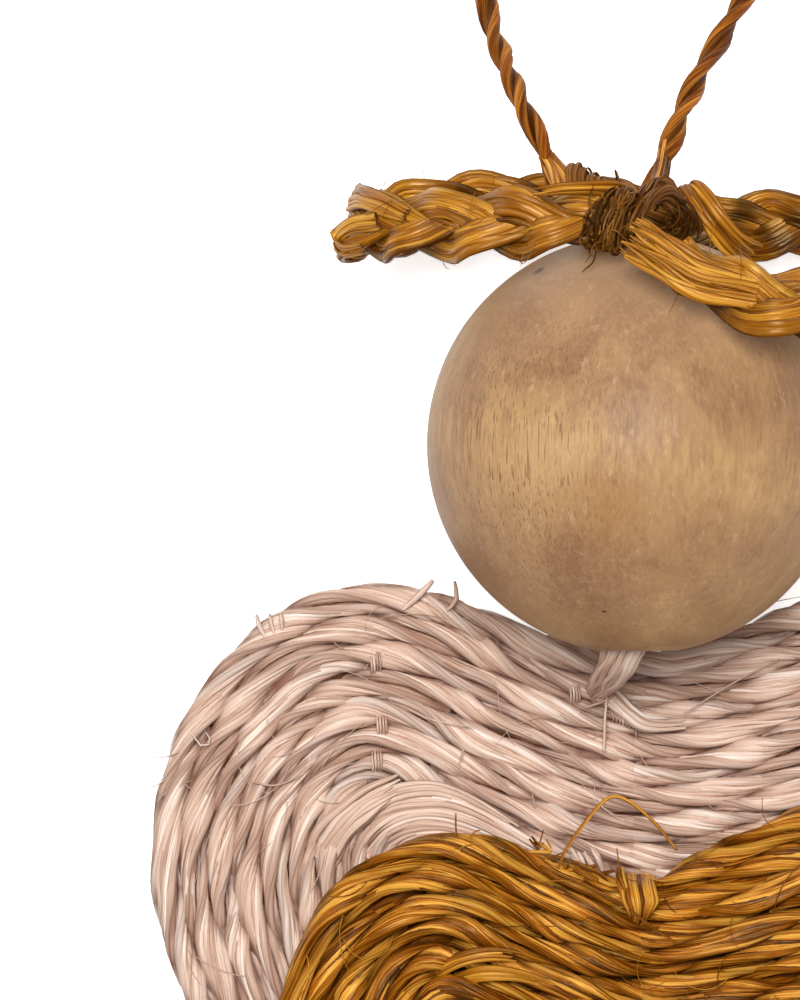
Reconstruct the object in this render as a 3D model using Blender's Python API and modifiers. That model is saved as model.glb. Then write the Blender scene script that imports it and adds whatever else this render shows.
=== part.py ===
"""Angel ornament: a wooden bead head, two heart-shaped mats of plaited fibre for its wings and its body, a plaited
halo and a loop of twisted cord. It lies on its back, face up, with its head towards +Y. Units are metres.
"""

import math

import bmesh
import bpy
import numpy as np
from mathutils import Vector

MM = 0.001
GAP = 0.3 * MM

# Head: a round wooden bead, drilled through from the crown of the head to the neck.
BEAD_RADIUS = 12.5 * MM
BEAD_HOLE_RADIUS = 2.0 * MM
BEAD_HOLE_ROUNDING = 0.5 * MM
BEAD_ARC_POINTS = 16
BEAD_STEPS = 32

# The head's place along the ornament, which puts the origin under the middle of the ornament without its cord.
HEAD_Y = 24.05 * MM
HEAD_CENTRE = Vector((0.0, HEAD_Y, BEAD_RADIUS))

# Each heart: half its width, the lobes' tops (sideways and above the notch), how far the widest place is below
# those tops, and the length from the notch to the tip.
WING_HEART = {
    "half_width": 29.15 * MM,
    "lobe_x": 15.3 * MM,
    "lobe_rise": 4.05 * MM,
    "shoulder_drop": 16.65 * MM,
    "length": 53.0 * MM,
}
BODY_HEART = {
    "half_width": 22.3 * MM,
    "lobe_x": 12.0 * MM,
    "lobe_rise": 3.2 * MM,
    "shoulder_drop": 13.1 * MM,
    "length": 39.4 * MM,
}
# The side of a heart below its widest place is one cubic curve: its handles, as shares of the sizes above.
SIDE_HANDLE_DOWN = 0.32
TIP_HANDLE_X = 0.38
TIP_HANDLE_UP = 0.285
CORNER_ROUNDING = 1.1 * MM

# How finely a heart's curves and the loops inside them are worked out before their points are spaced.
HEART_CURVE_STEPS = 90
HEART_HALF_POINTS = 361
HEART_LOOP_POINTS = 480
LOOP_TOLERANCE = 0.02 * MM

WING_NOTCH_BELOW_HEAD = BEAD_RADIUS
WING_THICKNESS = 3.4 * MM
WING_PLAIT_PITCH = 3.2 * MM
WING_PLAITS = 5
WING_LOOP_POINTS = 92

BODY_NOTCH = Vector((0.4 * MM, -25.6 * MM))
BODY_SLOPE = 0.084
BODY_THICKNESS = 3.2 * MM
BODY_PLAIT_PITCH = 2.85 * MM
BODY_PLAITS = 5
BODY_LOOP_POINTS = 76

# Relief of a plait: two columns of strands with a groove on each side.
STRAND_PITCH = 5.4 * MM
GROOVE_DEPTH = 0.9 * MM
STRAND_BULGE = 0.35 * MM
EDGE_SCALLOP = 0.2 * MM
COLUMN_SHARES = (0.27, 0.73)
EDGE_INSET = 0.55 * MM
EDGE_LOW = 0.28
EDGE_HIGH = 0.68

# Halo: a flat three-strand plait bent into a ring. Its route is given from the centre of the head.
HALO_WIDTH = 4.5 * MM
HALO_THICKNESS = 2.0 * MM
HALO_BULGE_PITCH = 5.0 * MM
HALO_BULGE = 0.07
HALO_SECTIONS = 60
HALO_CORNERS = 8
HALO_UNDER_THREAD = 0.92
HALO_ROUTE = [
    (-1.5, 13.2, 8.0),
    (-5.0, 13.1, 7.4),
    (-10.0, 13.0, 5.8),
    (-14.8, 12.9, 2.9),
    (-16.6, 13.1, -1.0),
    (-14.0, 13.6, -5.3),
    (-9.0, 14.3, -7.4),
    (-3.0, 14.5, -8.2),
    (3.0, 13.8, -8.0),
    (9.0, 13.3, -7.4),
    (14.0, 12.8, -5.0),
    (17.0, 12.0, -0.5),
    (16.2, 10.6, 4.8),
    (13.2, 9.0, 8.8),
    (10.0, 8.2, 11.2),
    (7.2, 8.4, 12.0),
    (4.1, 9.7, 11.4),
    (1.3, 11.6, 10.0),
]
HALO_LEAN = math.radians(20.0)

# Thread that binds the halo: a sleeve of a few turns round the plait at the start of its route.
TIE_TURNS = 3
TIE_THREAD = 0.5 * MM
TIE_SEGMENTS = 18
TIE_INNER_WIDTH = 0.98 * HALO_WIDTH + 2.0 * GAP
TIE_INNER_THICKNESS = HALO_THICKNESS + 2.0 * GAP

# Section of one turn of the thread: where its flat top starts and ends, and how high the valley between turns is.
TURN_TOP_START = 0.25
TURN_TOP_END = 0.75
TURN_VALLEY = 0.6

# Knot over the bead's upper hole, from the centre of the head.
KNOT_CENTRE = Vector((-1.8, 14.75, 1.95)) * MM
KNOT_RADII = Vector((1.85, 1.95, 3.1)) * MM
KNOT_SEGMENTS = 14
KNOT_RINGS = 9
KNOT_TURNS = 3.0
KNOT_PINCH = 0.09

# Hanging cord, from the centre of the head: out of one side of the knot, down to the surface, round and back.
CORD_DIAMETER = 1.3 * MM
CORD_POINT_SPACING = 2.6 * MM
CORD_ABOVE_SURFACE = 0.05 * MM
CORD_REST = (-BEAD_RADIUS + 0.5 * CORD_DIAMETER + CORD_ABOVE_SURFACE) / MM
CORD_ROUTE = [
    (-4.6, 15.1, 1.2),
    (-5.7, 17.9, 0.4),
    (-6.9, 20.5, -1.6),
    (-7.8, 22.9, -4.3),
    (-8.5, 24.9, -6.7),
    (-9.0, 27.4, -9.0),
    (-9.4, 30.6, -10.8),
    (-9.8, 34.6, CORD_REST + 0.2),
    (-10.2, 40.5, CORD_REST),
    (-9.8, 47.5, CORD_REST),
    (-7.8, 54.5, CORD_REST),
    (-3.6, 60.6, CORD_REST),
    (2.4, 63.6, CORD_REST),
    (8.4, 62.2, CORD_REST),
    (12.8, 57.4, CORD_REST),
    (14.4, 50.8, CORD_REST),
    (13.6, 43.6, CORD_REST),
    (11.4, 36.8, CORD_REST + 0.1),
    (9.2, 32.0, -10.9),
    (7.4, 28.4, -9.2),
    (5.8, 25.5, -6.9),
    (4.2, 22.8, -4.1),
    (2.9, 20.2, -1.5),
    (1.8, 17.4, 0.5),
    (0.75, 14.9, 1.2),
]

# Bundle of fibre that the bead is strung on: from the knot through the bead to the notch of the wings. Each place is
# from the centre of the head, with the bundle's radius there.
NECK_TIE_ROUTE = [
    (0.0, 12.1, 0.0, 1.5),
    (0.0, 4.0, 0.0, 1.5),
    (0.0, -4.0, 0.0, 1.5),
    (0.0, -10.6, 0.0, 1.2),
    (0.0, -12.4, -0.1, 1.1),
    (-0.1, -13.7, -1.3, 1.05),
    (-0.4, -14.4, -3.9, 1.0),
    (-0.6, -14.5, -6.4, 1.1),
    (-0.7, -14.6, -8.6, 1.5),
]

# Wrap over the notch of the body, from the centre of the head sideways and along, and from the surface upwards.
BODY_TIE_RADIUS = 0.75 * MM
BODY_TIE_ROUTE = [
    (0.3, -24.3, 3.75),
    (0.3, -24.3, 5.6),
    (0.3, -24.9, 7.5),
    (0.25, -26.4, 8.05),
    (0.1, -27.8, 8.0),
    (0.0, -28.9, 8.0),
]

TUBE_POINT_SPACING = 1.5 * MM
CURVE_SAMPLES = 24


def remove_scene_objects():
    for item in list(bpy.data.objects):
        bpy.data.objects.remove(item, do_unlink=True)


def ornament_collection():
    collection = bpy.data.collections.new("angel_ornament")
    bpy.context.scene.collection.children.link(collection)
    return collection


def fibre_or_wood(name, colour, roughness):
    material = bpy.data.materials.new(name)
    material.use_nodes = True
    shader = material.node_tree.nodes["Principled BSDF"]
    shader.inputs["Base Color"].default_value = (*colour, 1.0)
    shader.inputs["Roughness"].default_value = roughness
    shader.inputs["Metallic"].default_value = 0.0
    material.diffuse_color = (*colour, 1.0)
    return material


def place(item, collection, parent, material):
    collection.objects.link(item)
    item.parent = parent
    item.data.materials.append(material)
    return item


def mesh_object(name, points, faces):
    mesh = bpy.data.meshes.new(name)
    mesh.from_pydata([tuple(point) for point in points], [], faces)
    mesh.validate()
    work = bmesh.new()
    work.from_mesh(mesh)
    bmesh.ops.recalc_face_normals(work, faces=work.faces)
    work.to_mesh(mesh)
    work.free()
    mesh.shade_smooth()
    return bpy.data.objects.new(name, mesh)


def catmull_rom(points, closed):
    """Fine points along a smooth curve through the given points."""
    points = np.asarray(points, float)
    count = len(points)
    if closed:
        padded = np.vstack([points[-1], points, points[:2]])
        spans = count
    else:
        padded = np.vstack([2 * points[0] - points[1], points, 2 * points[-1] - points[-2]])
        spans = count - 1
    curve = []
    for span in range(spans):
        before, start, end, after = padded[span : span + 4]
        for t in np.arange(CURVE_SAMPLES) / CURVE_SAMPLES:
            curve.append(
                0.5
                * (
                    2 * start
                    + (end - before) * t
                    + (2 * before - 5 * start + 4 * end - after) * t**2
                    + (3 * start - before - 3 * end + after) * t**3
                )
            )
    if not closed:
        curve.append(padded[-2])
    return np.array(curve)


def evenly_spaced(curve, count, closed):
    """The given number of points at equal distances along a polyline."""
    line = np.vstack([curve, curve[:1]]) if closed else curve
    travelled = np.concatenate([[0.0], np.cumsum(np.linalg.norm(np.diff(line, axis=0), axis=1))])
    wanted = np.linspace(0.0, travelled[-1], count + 1 if closed else count)
    spaced = np.column_stack([np.interp(wanted, travelled, line[:, axis]) for axis in range(line.shape[1])])
    return spaced[:-1] if closed else spaced


def route_length(curve, closed=False):
    line = np.vstack([curve, curve[:1]]) if closed else curve
    return float(np.linalg.norm(np.diff(line, axis=0), axis=1).sum())


def bridged(loops, wrap):
    """Faces between neighbouring loops of equal length; wrap also joins the last loop to the first."""
    size = len(loops[0])
    pairs = len(loops) if wrap else len(loops) - 1
    faces = []
    for row in range(pairs):
        here = row * size
        there = ((row + 1) % len(loops)) * size
        for column in range(size):
            following = (column + 1) % size
            faces.append((here + column, here + following, there + following, there + column))
    return faces


def heart_half(size):
    """The left half of a heart from its notch at (0, 0) over the lobe to the tip."""
    share = np.linspace(0.0, 1.0, HEART_CURVE_STEPS)
    lobe_x, rise = size["lobe_x"], size["lobe_rise"]
    valley = np.column_stack([-lobe_x * share, rise * (0.5 - 0.5 * np.cos(math.pi * share))])
    turn = 0.5 * math.pi * share
    reach = size["half_width"] - lobe_x
    drop = size["shoulder_drop"]
    shoulder = np.column_stack([-lobe_x - reach * np.sin(turn), rise - drop + drop * np.cos(turn)])
    start = np.array([-size["half_width"], rise - drop])
    tip = np.array([0.0, -size["length"]])
    fall = start[1] - tip[1]
    start_handle = start - [0.0, SIDE_HANDLE_DOWN * fall]
    tip_handle = tip + [-TIP_HANDLE_X * size["half_width"], TIP_HANDLE_UP * fall]
    rest = 1.0 - share
    weights = np.column_stack([rest**3, 3 * rest**2 * share, 3 * rest * share**2, share**3])
    side = weights @ np.array([start, start_handle, tip_handle, tip])
    return np.vstack([valley[:-1], shoulder[:-1], side])


def inward_normals(half):
    """Unit normals into the heart along its left half, which runs anticlockwise."""
    mirrored_before = half[1] * [-1, 1]
    mirrored_after = half[-2] * [-1, 1]
    line = np.vstack([mirrored_before, half, mirrored_after])
    tangent = line[2:] - line[:-2]
    tangent /= np.linalg.norm(tangent, axis=1)[:, None]
    return np.column_stack([-tangent[:, 1], tangent[:, 0]])


def heart_loop(size, inset, count):
    """A closed loop of points that follows the heart's outline at a distance inside it, with rounded corners."""
    half = evenly_spaced(heart_half(size), HEART_HALF_POINTS, closed=False)
    moved = half + inset * inward_normals(half)
    whole = np.vstack([half, half[::-1] * [-1, 1]])
    clearance = np.array([np.linalg.norm(whole - point, axis=1).min() for point in moved])
    kept = moved[(clearance > inset - LOOP_TOLERANCE) & (moved[:, 0] < 0.5 * LOOP_TOLERANCE)]
    kept[0, 0] = 0.0
    if abs(kept[-1, 0]) > 0.0:
        kept = np.vstack([kept, [0.0, kept[-1, 1]]])
    loop = np.vstack([kept, kept[-2:0:-1] * [-1, 1]])
    fine = evenly_spaced(loop, HEART_LOOP_POINTS, closed=True)
    step = route_length(fine, closed=True) / len(fine)
    for _ in range(int(round(2.0 * (CORNER_ROUNDING / step) ** 2))):
        fine = 0.5 * fine + 0.25 * (np.roll(fine, 1, axis=0) + np.roll(fine, -1, axis=0))
    return evenly_spaced(fine, count, closed=True)


def strand_wave(loop, phase):
    """A value from 0 to 1 that rises once for each strand along the loop."""
    turns = round(route_length(loop, closed=True) / STRAND_PITCH)
    share = np.arange(len(loop)) / len(loop)
    return 0.5 + 0.5 * np.cos(2.0 * math.pi * (turns * share) + phase)


def plaited_heart(name, size, thickness, pitch, plaits, count, notch, base, slope):
    """A mat of plait wound inwards along the heart: each plait has two columns of strands between grooves."""
    levels = []
    flat_loop = heart_loop(size, EDGE_INSET, count)
    levels.append((flat_loop, np.zeros(count)))
    for share, phase in ((EDGE_LOW, 0.0), (EDGE_HIGH, math.pi)):
        outline = heart_loop(size, 0.0, count)
        centre = outline.mean(axis=0)
        outward = outline - centre
        outward /= np.linalg.norm(outward, axis=1)[:, None]
        scallop = EDGE_SCALLOP * (strand_wave(outline, phase) - 1.0)
        levels.append((outline + outward * scallop[:, None], np.full(count, share * thickness)))
    for plait in range(plaits):
        for column, share in enumerate(COLUMN_SHARES):
            crest = heart_loop(size, (plait + share) * pitch, count)
            wave = strand_wave(crest, math.pi * (column + plait))
            levels.append((crest, thickness - STRAND_BULGE * wave))
        groove = heart_loop(size, (plait + 1.0) * pitch, count)
        levels.append((groove, np.full(count, thickness - GROOVE_DEPTH)))
    points = []
    for loop, height in levels:
        x = loop[:, 0] + notch[0]
        y = loop[:, 1] + slope * loop[:, 0] + notch[1]
        points.append(np.column_stack([x, y, height + base]))
    faces = bridged(points, wrap=False)
    last = (len(points) - 1) * count
    faces.append(tuple(range(count)))
    faces.append(tuple(last + index for index in range(count)))
    return mesh_object(name, np.vstack(points), faces)


def bead(name):
    """The bead as a turned profile: its round outside, the rounded mouths of the hole and the hole's wall."""
    mouth_angle = math.asin((BEAD_HOLE_RADIUS + BEAD_HOLE_ROUNDING) / BEAD_RADIUS)
    mouth_height = math.sqrt(BEAD_RADIUS**2 - (BEAD_HOLE_RADIUS + BEAD_HOLE_ROUNDING) ** 2)
    profile = []
    for index in range(BEAD_ARC_POINTS + 1):
        angle = mouth_angle + (math.pi - 2.0 * mouth_angle) * index / BEAD_ARC_POINTS
        profile.append((BEAD_RADIUS * math.sin(angle), 0.0, BEAD_RADIUS * math.cos(angle)))
    wall_end = mouth_height - BEAD_HOLE_ROUNDING
    profile.append((BEAD_HOLE_RADIUS, 0.0, -wall_end))
    profile.append((BEAD_HOLE_RADIUS, 0.0, wall_end))
    count = len(profile)
    mesh = bpy.data.meshes.new(name)
    mesh.from_pydata(profile, [(index, (index + 1) % count) for index in range(count)], [])
    item = bpy.data.objects.new(name, mesh)
    screw = item.modifiers.new("turned", "SCREW")
    screw.steps = BEAD_STEPS
    screw.render_steps = BEAD_STEPS
    screw.use_merge_vertices = True
    screw.merge_threshold = 0.00001
    screw.use_smooth_shade = True
    item.rotation_euler = (-0.5 * math.pi, 0.0, 0.0)
    return item


def halo_frames(count):
    """Places along the halo, each with its tangent, the direction of the band's width and its outward normal."""
    route = evenly_spaced(catmull_rom(np.array(HALO_ROUTE) * MM, True), count, closed=True)
    tangent = np.roll(route, -1, axis=0) - np.roll(route, 1, axis=0)
    tangent /= np.linalg.norm(tangent, axis=1)[:, None]
    along_head = np.array([0.0, math.cos(HALO_LEAN), 0.0])
    away = route * [1.0, 0.0, 1.0]
    away /= np.linalg.norm(away, axis=1)[:, None]
    width = along_head - away * math.sin(HALO_LEAN)
    width -= tangent * (width * tangent).sum(axis=1)[:, None]
    width /= np.linalg.norm(width, axis=1)[:, None]
    normal = np.cross(width, tangent)
    normal *= np.sign((normal * away).sum(axis=1))[:, None]
    return route, tangent, width, normal


def plaited_halo(name):
    """A flat ring whose edges bulge in turn, as the strands of a plait do, and narrow under the thread."""
    route, _, width, normal = halo_frames(HALO_SECTIONS)
    length = route_length(route, closed=True)
    turns = round(length / HALO_BULGE_PITCH)
    rings = []
    for index in range(HALO_SECTIONS):
        wave = 2.0 * math.pi * turns * index / HALO_SECTIONS
        ring = []
        for corner in range(HALO_CORNERS):
            angle = 2.0 * math.pi * corner / HALO_CORNERS
            across, out = math.cos(angle), math.sin(angle)
            side = 1.0 + HALO_BULGE * math.cos(wave) * across
            body = 1.0 - HALO_BULGE * (1.0 - math.cos(2.0 * wave + angle))
            pinch = HALO_UNDER_THREAD if index in (HALO_SECTIONS - 1, 0, 1) else 1.0
            half_width = 0.5 * HALO_WIDTH * side * pinch
            half_thickness = 0.5 * HALO_THICKNESS * body
            ring.append(route[index] + width[index] * across * half_width + normal[index] * out * half_thickness)
        rings.append(np.array(ring))
    return mesh_object(name, np.vstack(rings), bridged(rings, wrap=True))


def thread_sleeve(name):
    """Turns of thread side by side round the halo, as one ribbed sleeve."""
    route, tangent, width, normal = halo_frames(HALO_SECTIONS)
    inner_width = 0.5 * TIE_INNER_WIDTH
    inner_thickness = 0.5 * TIE_INNER_THICKNESS
    half_length = 0.5 * TIE_TURNS * TIE_THREAD
    profile = [(-half_length, 0.0)]
    for turn in range(TIE_TURNS):
        low = -half_length + turn * TIE_THREAD
        profile.append((low + TURN_TOP_START * TIE_THREAD, TIE_THREAD))
        profile.append((low + TURN_TOP_END * TIE_THREAD, TIE_THREAD))
        if turn < TIE_TURNS - 1:
            profile.append((low + TIE_THREAD, TURN_VALLEY * TIE_THREAD))
    profile.append((half_length, 0.0))
    rings = []
    for index in range(TIE_SEGMENTS):
        angle = 2.0 * math.pi * index / TIE_SEGMENTS
        across, out = math.cos(angle), math.sin(angle)
        outward = width[0] * across / inner_width + normal[0] * out / inner_thickness
        outward /= np.linalg.norm(outward)
        foot = route[0] + width[0] * across * inner_width + normal[0] * out * inner_thickness
        rings.append(np.array([foot + tangent[0] * along + outward * high for along, high in profile]))
    return mesh_object(name, np.vstack(rings), bridged(rings, wrap=True))


def lumpy_knot(name):
    """A small round knot, a little pinched where its turns cross."""
    mesh = bpy.data.meshes.new(name)
    work = bmesh.new()
    bmesh.ops.create_uvsphere(work, u_segments=KNOT_SEGMENTS, v_segments=KNOT_RINGS, radius=1.0)
    for corner in work.verts:
        turn = math.atan2(corner.co.y, corner.co.x)
        pinch = 1.0 - KNOT_PINCH * (0.5 + 0.5 * math.cos(KNOT_TURNS * turn + 2.0 * corner.co.z))
        corner.co = Vector(corner.co[axis] * KNOT_RADII[axis] * pinch for axis in range(3))
    work.to_mesh(mesh)
    work.free()
    mesh.shade_smooth()
    item = bpy.data.objects.new(name, mesh)
    item.location = KNOT_CENTRE
    return item


def tube(name, curve_points, radius, shares):
    """A round tube along a polyline, with a share of the radius at each point."""
    data = bpy.data.curves.new(name, "CURVE")
    data.dimensions = "3D"
    data.bevel_depth = radius
    data.bevel_resolution = 2
    data.use_fill_caps = True
    spline = data.splines.new("POLY")
    spline.points.add(len(curve_points) - 1)
    for point, place_on_route, share in zip(spline.points, curve_points, shares):
        point.co = (*place_on_route, 1.0)
        point.radius = share
    return bpy.data.objects.new(name, data)


def cord(name):
    curve = catmull_rom(np.array(CORD_ROUTE) * MM, False)
    count = int(round(route_length(curve) / CORD_POINT_SPACING)) + 1
    points = evenly_spaced(curve, count, closed=False)
    return tube(name, points, 0.5 * CORD_DIAMETER, np.ones(count))


def neck_bundle(name):
    route = np.array(NECK_TIE_ROUTE) * MM
    curve = catmull_rom(route, False)
    count = int(round(route_length(curve[:, :3]) / TUBE_POINT_SPACING)) + 1
    points = evenly_spaced(curve, count, closed=False)
    widest = route[:, 3].max()
    return tube(name, points[:, :3], widest, points[:, 3] / widest)


def body_wrap(name):
    lift = np.array([0.0, 0.0, BEAD_RADIUS])
    curve = catmull_rom(np.array(BODY_TIE_ROUTE) * MM - lift, False)
    count = int(round(route_length(curve) / TUBE_POINT_SPACING)) + 1
    points = evenly_spaced(curve, count, closed=False)
    return tube(name, points, BODY_TIE_RADIUS, np.ones(count))


def main():
    remove_scene_objects()
    collection = ornament_collection()
    head_place = bpy.data.objects.new("head_place", None)
    head_place.location = HEAD_CENTRE
    head_place.empty_display_size = BEAD_RADIUS
    collection.objects.link(head_place)

    wood = fibre_or_wood("bead_wood", (0.52, 0.34, 0.19), 0.5)
    pink = fibre_or_wood("blush_fibre", (0.72, 0.53, 0.45), 0.45)
    gold = fibre_or_wood("golden_fibre", (0.55, 0.28, 0.05), 0.4)
    halo_gold = fibre_or_wood("halo_fibre", (0.58, 0.33, 0.09), 0.4)
    thread = fibre_or_wood("dark_thread", (0.14, 0.07, 0.03), 0.6)
    cord_brown = fibre_or_wood("cord_fibre", (0.36, 0.17, 0.05), 0.5)

    place(bead("bead_head"), collection, head_place, wood)
    wings = plaited_heart(
        "wing_heart",
        WING_HEART,
        WING_THICKNESS,
        WING_PLAIT_PITCH,
        WING_PLAITS,
        WING_LOOP_POINTS,
        (0.0, -WING_NOTCH_BELOW_HEAD),
        -BEAD_RADIUS,
        0.0,
    )
    place(wings, collection, head_place, pink)
    body = plaited_heart(
        "body_heart",
        BODY_HEART,
        BODY_THICKNESS,
        BODY_PLAIT_PITCH,
        BODY_PLAITS,
        BODY_LOOP_POINTS,
        BODY_NOTCH,
        -BEAD_RADIUS + WING_THICKNESS + GAP,
        BODY_SLOPE,
    )
    place(body, collection, head_place, gold)
    place(plaited_halo("halo_ring"), collection, head_place, halo_gold)
    place(thread_sleeve("halo_tie"), collection, head_place, thread)
    place(lumpy_knot("cord_knot"), collection, head_place, thread)
    place(cord("hanging_cord"), collection, head_place, cord_brown)
    place(neck_bundle("neck_tie"), collection, head_place, pink)
    place(body_wrap("body_tie"), collection, head_place, gold)


main()
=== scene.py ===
import math

import bpy
import numpy as np
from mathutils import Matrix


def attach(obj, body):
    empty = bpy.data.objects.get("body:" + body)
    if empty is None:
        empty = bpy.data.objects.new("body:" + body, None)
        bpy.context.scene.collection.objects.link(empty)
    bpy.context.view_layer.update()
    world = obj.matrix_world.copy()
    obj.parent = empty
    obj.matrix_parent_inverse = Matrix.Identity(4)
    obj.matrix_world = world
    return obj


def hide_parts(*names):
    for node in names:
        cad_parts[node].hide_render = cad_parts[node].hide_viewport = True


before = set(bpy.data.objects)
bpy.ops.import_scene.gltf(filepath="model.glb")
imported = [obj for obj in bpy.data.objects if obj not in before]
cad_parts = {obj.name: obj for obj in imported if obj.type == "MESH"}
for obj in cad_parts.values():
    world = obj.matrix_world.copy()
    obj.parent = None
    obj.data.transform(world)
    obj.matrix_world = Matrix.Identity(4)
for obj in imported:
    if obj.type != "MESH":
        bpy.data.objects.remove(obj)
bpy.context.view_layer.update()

# Shapes below are worked out in millimetres and set in metres.
MM = 0.001
FLOOR = 0.0
FLOOR_REACH = 1.5
BEAD_RADIUS = 12.5
HEAD = np.array([0.0, 24.05, BEAD_RADIUS])

# Bead's wood, from its centre in metres: where its pores are thickest, its warm patch, its dark marks, each
# with a size and a strength, and its tones from dark to pale.
PORE_PATCH = (-0.0072, -0.0001, 0.0060)
WARM_PATCH = (-0.0019, -0.0036, 0.0118)
DARK_MARKS = (((-0.0059, 0.0103, 0.0040), 0.0003, 0.8), ((-0.0021, -0.0099, 0.0074), 0.00012, 0.9))
WOOD_TONES = (
    (0.40, (0.285, 0.146, 0.068)),
    (0.47, (0.372, 0.204, 0.096)),
    (0.54, (0.430, 0.246, 0.111)),
    (0.61, (0.525, 0.320, 0.153)),
)

SEED = 41

# Camera: straight above, and the width and height that it takes in at the middle of the bead.
VIEW_CENTRE = (-14.1, 20.75)
VIEW_HEIGHT = 59.5
VIEW_DISTANCE = 700.0

# Soft lights: where each one is in metres, its width and its power, and the point that they all shine on.
LAMPS = (
    ("large_soft_light", (-0.05, 0.2, 0.78), 0.42, 7.4),
    ("right_fill_light", (0.65, -0.05, 0.45), 0.4, 1.9),
    ("left_fill_light", (-0.65, -0.15, 0.45), 0.4, 1.15),
)
LIT_POINT = (0.0, 0.005, 0.005)

# Hanging cord: its route from the centre of the head.
CORD_DIAMETER = 1.3
CORD_REST = -BEAD_RADIUS + 0.5 * CORD_DIAMETER + 0.13
CORD_ROUTE = [
    (-4.6, 15.1, 1.2),
    (-5.7, 17.9, 0.4),
    (-6.9, 20.5, -1.6),
    (-7.8, 22.9, -4.3),
    (-8.5, 24.9, -6.7),
    (-9.0, 27.4, -9.0),
    (-9.4, 30.6, -10.8),
    (-9.8, 34.6, CORD_REST + 0.2),
    (-10.2, 40.5, CORD_REST),
    (-9.8, 47.5, CORD_REST),
    (-7.8, 54.5, CORD_REST),
    (-3.6, 60.6, CORD_REST),
    (2.4, 63.6, CORD_REST),
    (8.4, 62.2, CORD_REST),
    (12.8, 57.4, CORD_REST),
    (14.4, 50.8, CORD_REST),
    (13.6, 43.6, CORD_REST),
    (11.4, 36.8, CORD_REST + 0.1),
    (9.2, 32.0, -10.9),
    (7.4, 28.4, -9.2),
    (5.8, 25.5, -6.9),
    (4.2, 22.8, -4.1),
    (2.9, 20.2, -1.5),
    (1.8, 17.4, 0.5),
    (0.75, 14.9, 1.2),
]
CORD_TWIST = 7.8
PLY_OFFSET = 0.3
PLY_CORE = 0.21
PLY_BUNDLES = 8
BUNDLE_RADIUS = 0.2

# Hearts: half width, the lobes' tops, how far the widest place is below them, and the length to the tip.
HEART_SIZES = ("half_width", "lobe_x", "lobe_rise", "shoulder_drop", "length")
WING_HEART = dict(zip(HEART_SIZES, (29.15, 15.3, 4.05, 16.65, 53.0)))
BODY_HEART = dict(zip(HEART_SIZES, (22.3, 12.0, 3.2, 13.1, 39.4)))
SIDE_HANDLE_DOWN = 0.32
TIP_HANDLE_X = 0.38
TIP_HANDLE_UP = 0.285
CORNER_ROUNDING = 1.1

# Each mat: where its notch is, its slope, the height of its middle, how far its rows are apart and how many
# there are, then the twisted cord that they are wound from, and how far the wrap draws it in at the notch.
WING_MAT = {
    "heart": WING_HEART,
    "notch": (0.0, HEAD[1] - BEAD_RADIUS),
    "slope": 0.0,
    "middle": 1.8,
    "pitch": 1.63,
    "rows": 13,
    "half_width": 0.88,
    "half_height": 1.2,
    "drawn_in": 0.0,
    "twist": 16.5,
    "bundles": 8,
    "spacing": 0.62,
}
BODY_MAT = {
    "heart": BODY_HEART,
    "notch": (0.4, HEAD[1] - 25.6),
    "slope": 0.084,
    "middle": 5.3,
    "pitch": 1.57,
    "rows": 10,
    "half_width": 0.85,
    "half_height": 1.25,
    "drawn_in": 0.8,
    "twist": 16.0,
    "bundles": 8,
    "spacing": 0.62,
}

# The first row of a mat, and its first loose fibres, lie this share of a row in from its edge. The fibres
# bend up and down by these steps along their length.
ROW_INSET = 0.52
LOOSE_INSET = 0.53
LOOSE_RISE = (0.14, 0.02, -0.03, -0.07)

# Strands: the spread of their bundles' widths, how far the bundles overlap, roll, gather, wander, rise and
# swell, and how much painted shade darkens a bundle at the edge of a strand.
BUNDLE_SPREAD = (0.45, 1.55)
BUNDLE_OVERLAP = 2.3
BUNDLE_ROLL = 0.12
BUNDLE_GATHER = 0.09
BUNDLE_WANDER = 0.06
BUNDLE_LIFT = 0.045
BUNDLE_SWELL = 0.25
EDGE_SHADE = 0.7

# Plait of the halo: how far each strand banks, and the part of its pass where it lies open, clear of
# painted shade, and how that painted shade fades in and leans across it.
STRAND_BANK = 0.3
OPEN_SPAN = math.radians(86.0)
OPEN_FADE = math.radians(62.0)
OPEN_LEAN = math.radians(55.0)

# Plies of a twisted cord, for a cord of radius 1: the middle of each ply, and its width and thickness, and
# how far above or below a row's middle a bundle lies before it is clear of painted shade.
PLY_MIDDLE = 0.46
PLY_SECTION = (1.75, 1.0)
OPEN_HEIGHT = 0.44

# Fibre: how much its tone follows its fine lines, its patches and its bundle, and how deep the painted shade
# is where two bundles meet and down between strands. Highlights on the golden fibres are warm.
LINE_SHARE = 0.85
PATCH_SHARE = 0.6
TONE_SHARE = 0.3
MEETING_SHADE = 0.6
CREVICE_SHADE = 0.85
HIGHLIGHT = (1.0, 0.72, 0.36)

# Halo: the middle of its plait from the centre of the head, starting where thread binds its two ends.
HALO_ROUTE = [
    (-1.5, 13.2, 8.0),
    (-5.0, 13.1, 7.4),
    (-10.0, 13.0, 5.8),
    (-14.8, 12.9, 2.9),
    (-16.6, 13.1, -1.0),
    (-14.0, 13.6, -5.3),
    (-9.0, 14.3, -7.4),
    (-3.0, 13.9, -8.2),
    (3.0, 13.0, -8.0),
    (9.0, 13.3, -7.4),
    (14.0, 12.8, -5.0),
    (17.0, 12.0, -0.5),
    (16.2, 10.6, 4.8),
    (13.2, 9.0, 8.8),
    (10.0, 8.2, 11.2),
    (7.2, 8.4, 12.0),
    (4.1, 9.7, 11.4),
    (1.3, 11.6, 10.0),
]
HALO_LEAN = math.radians(20.0)
HALO_SHOWN = 0.955
HALO_PLAIT = {"spread": 1.12, "rise": 0.45, "strand": (1.95, 0.9), "wavelength": 13.6, "bundles": 9}

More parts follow.
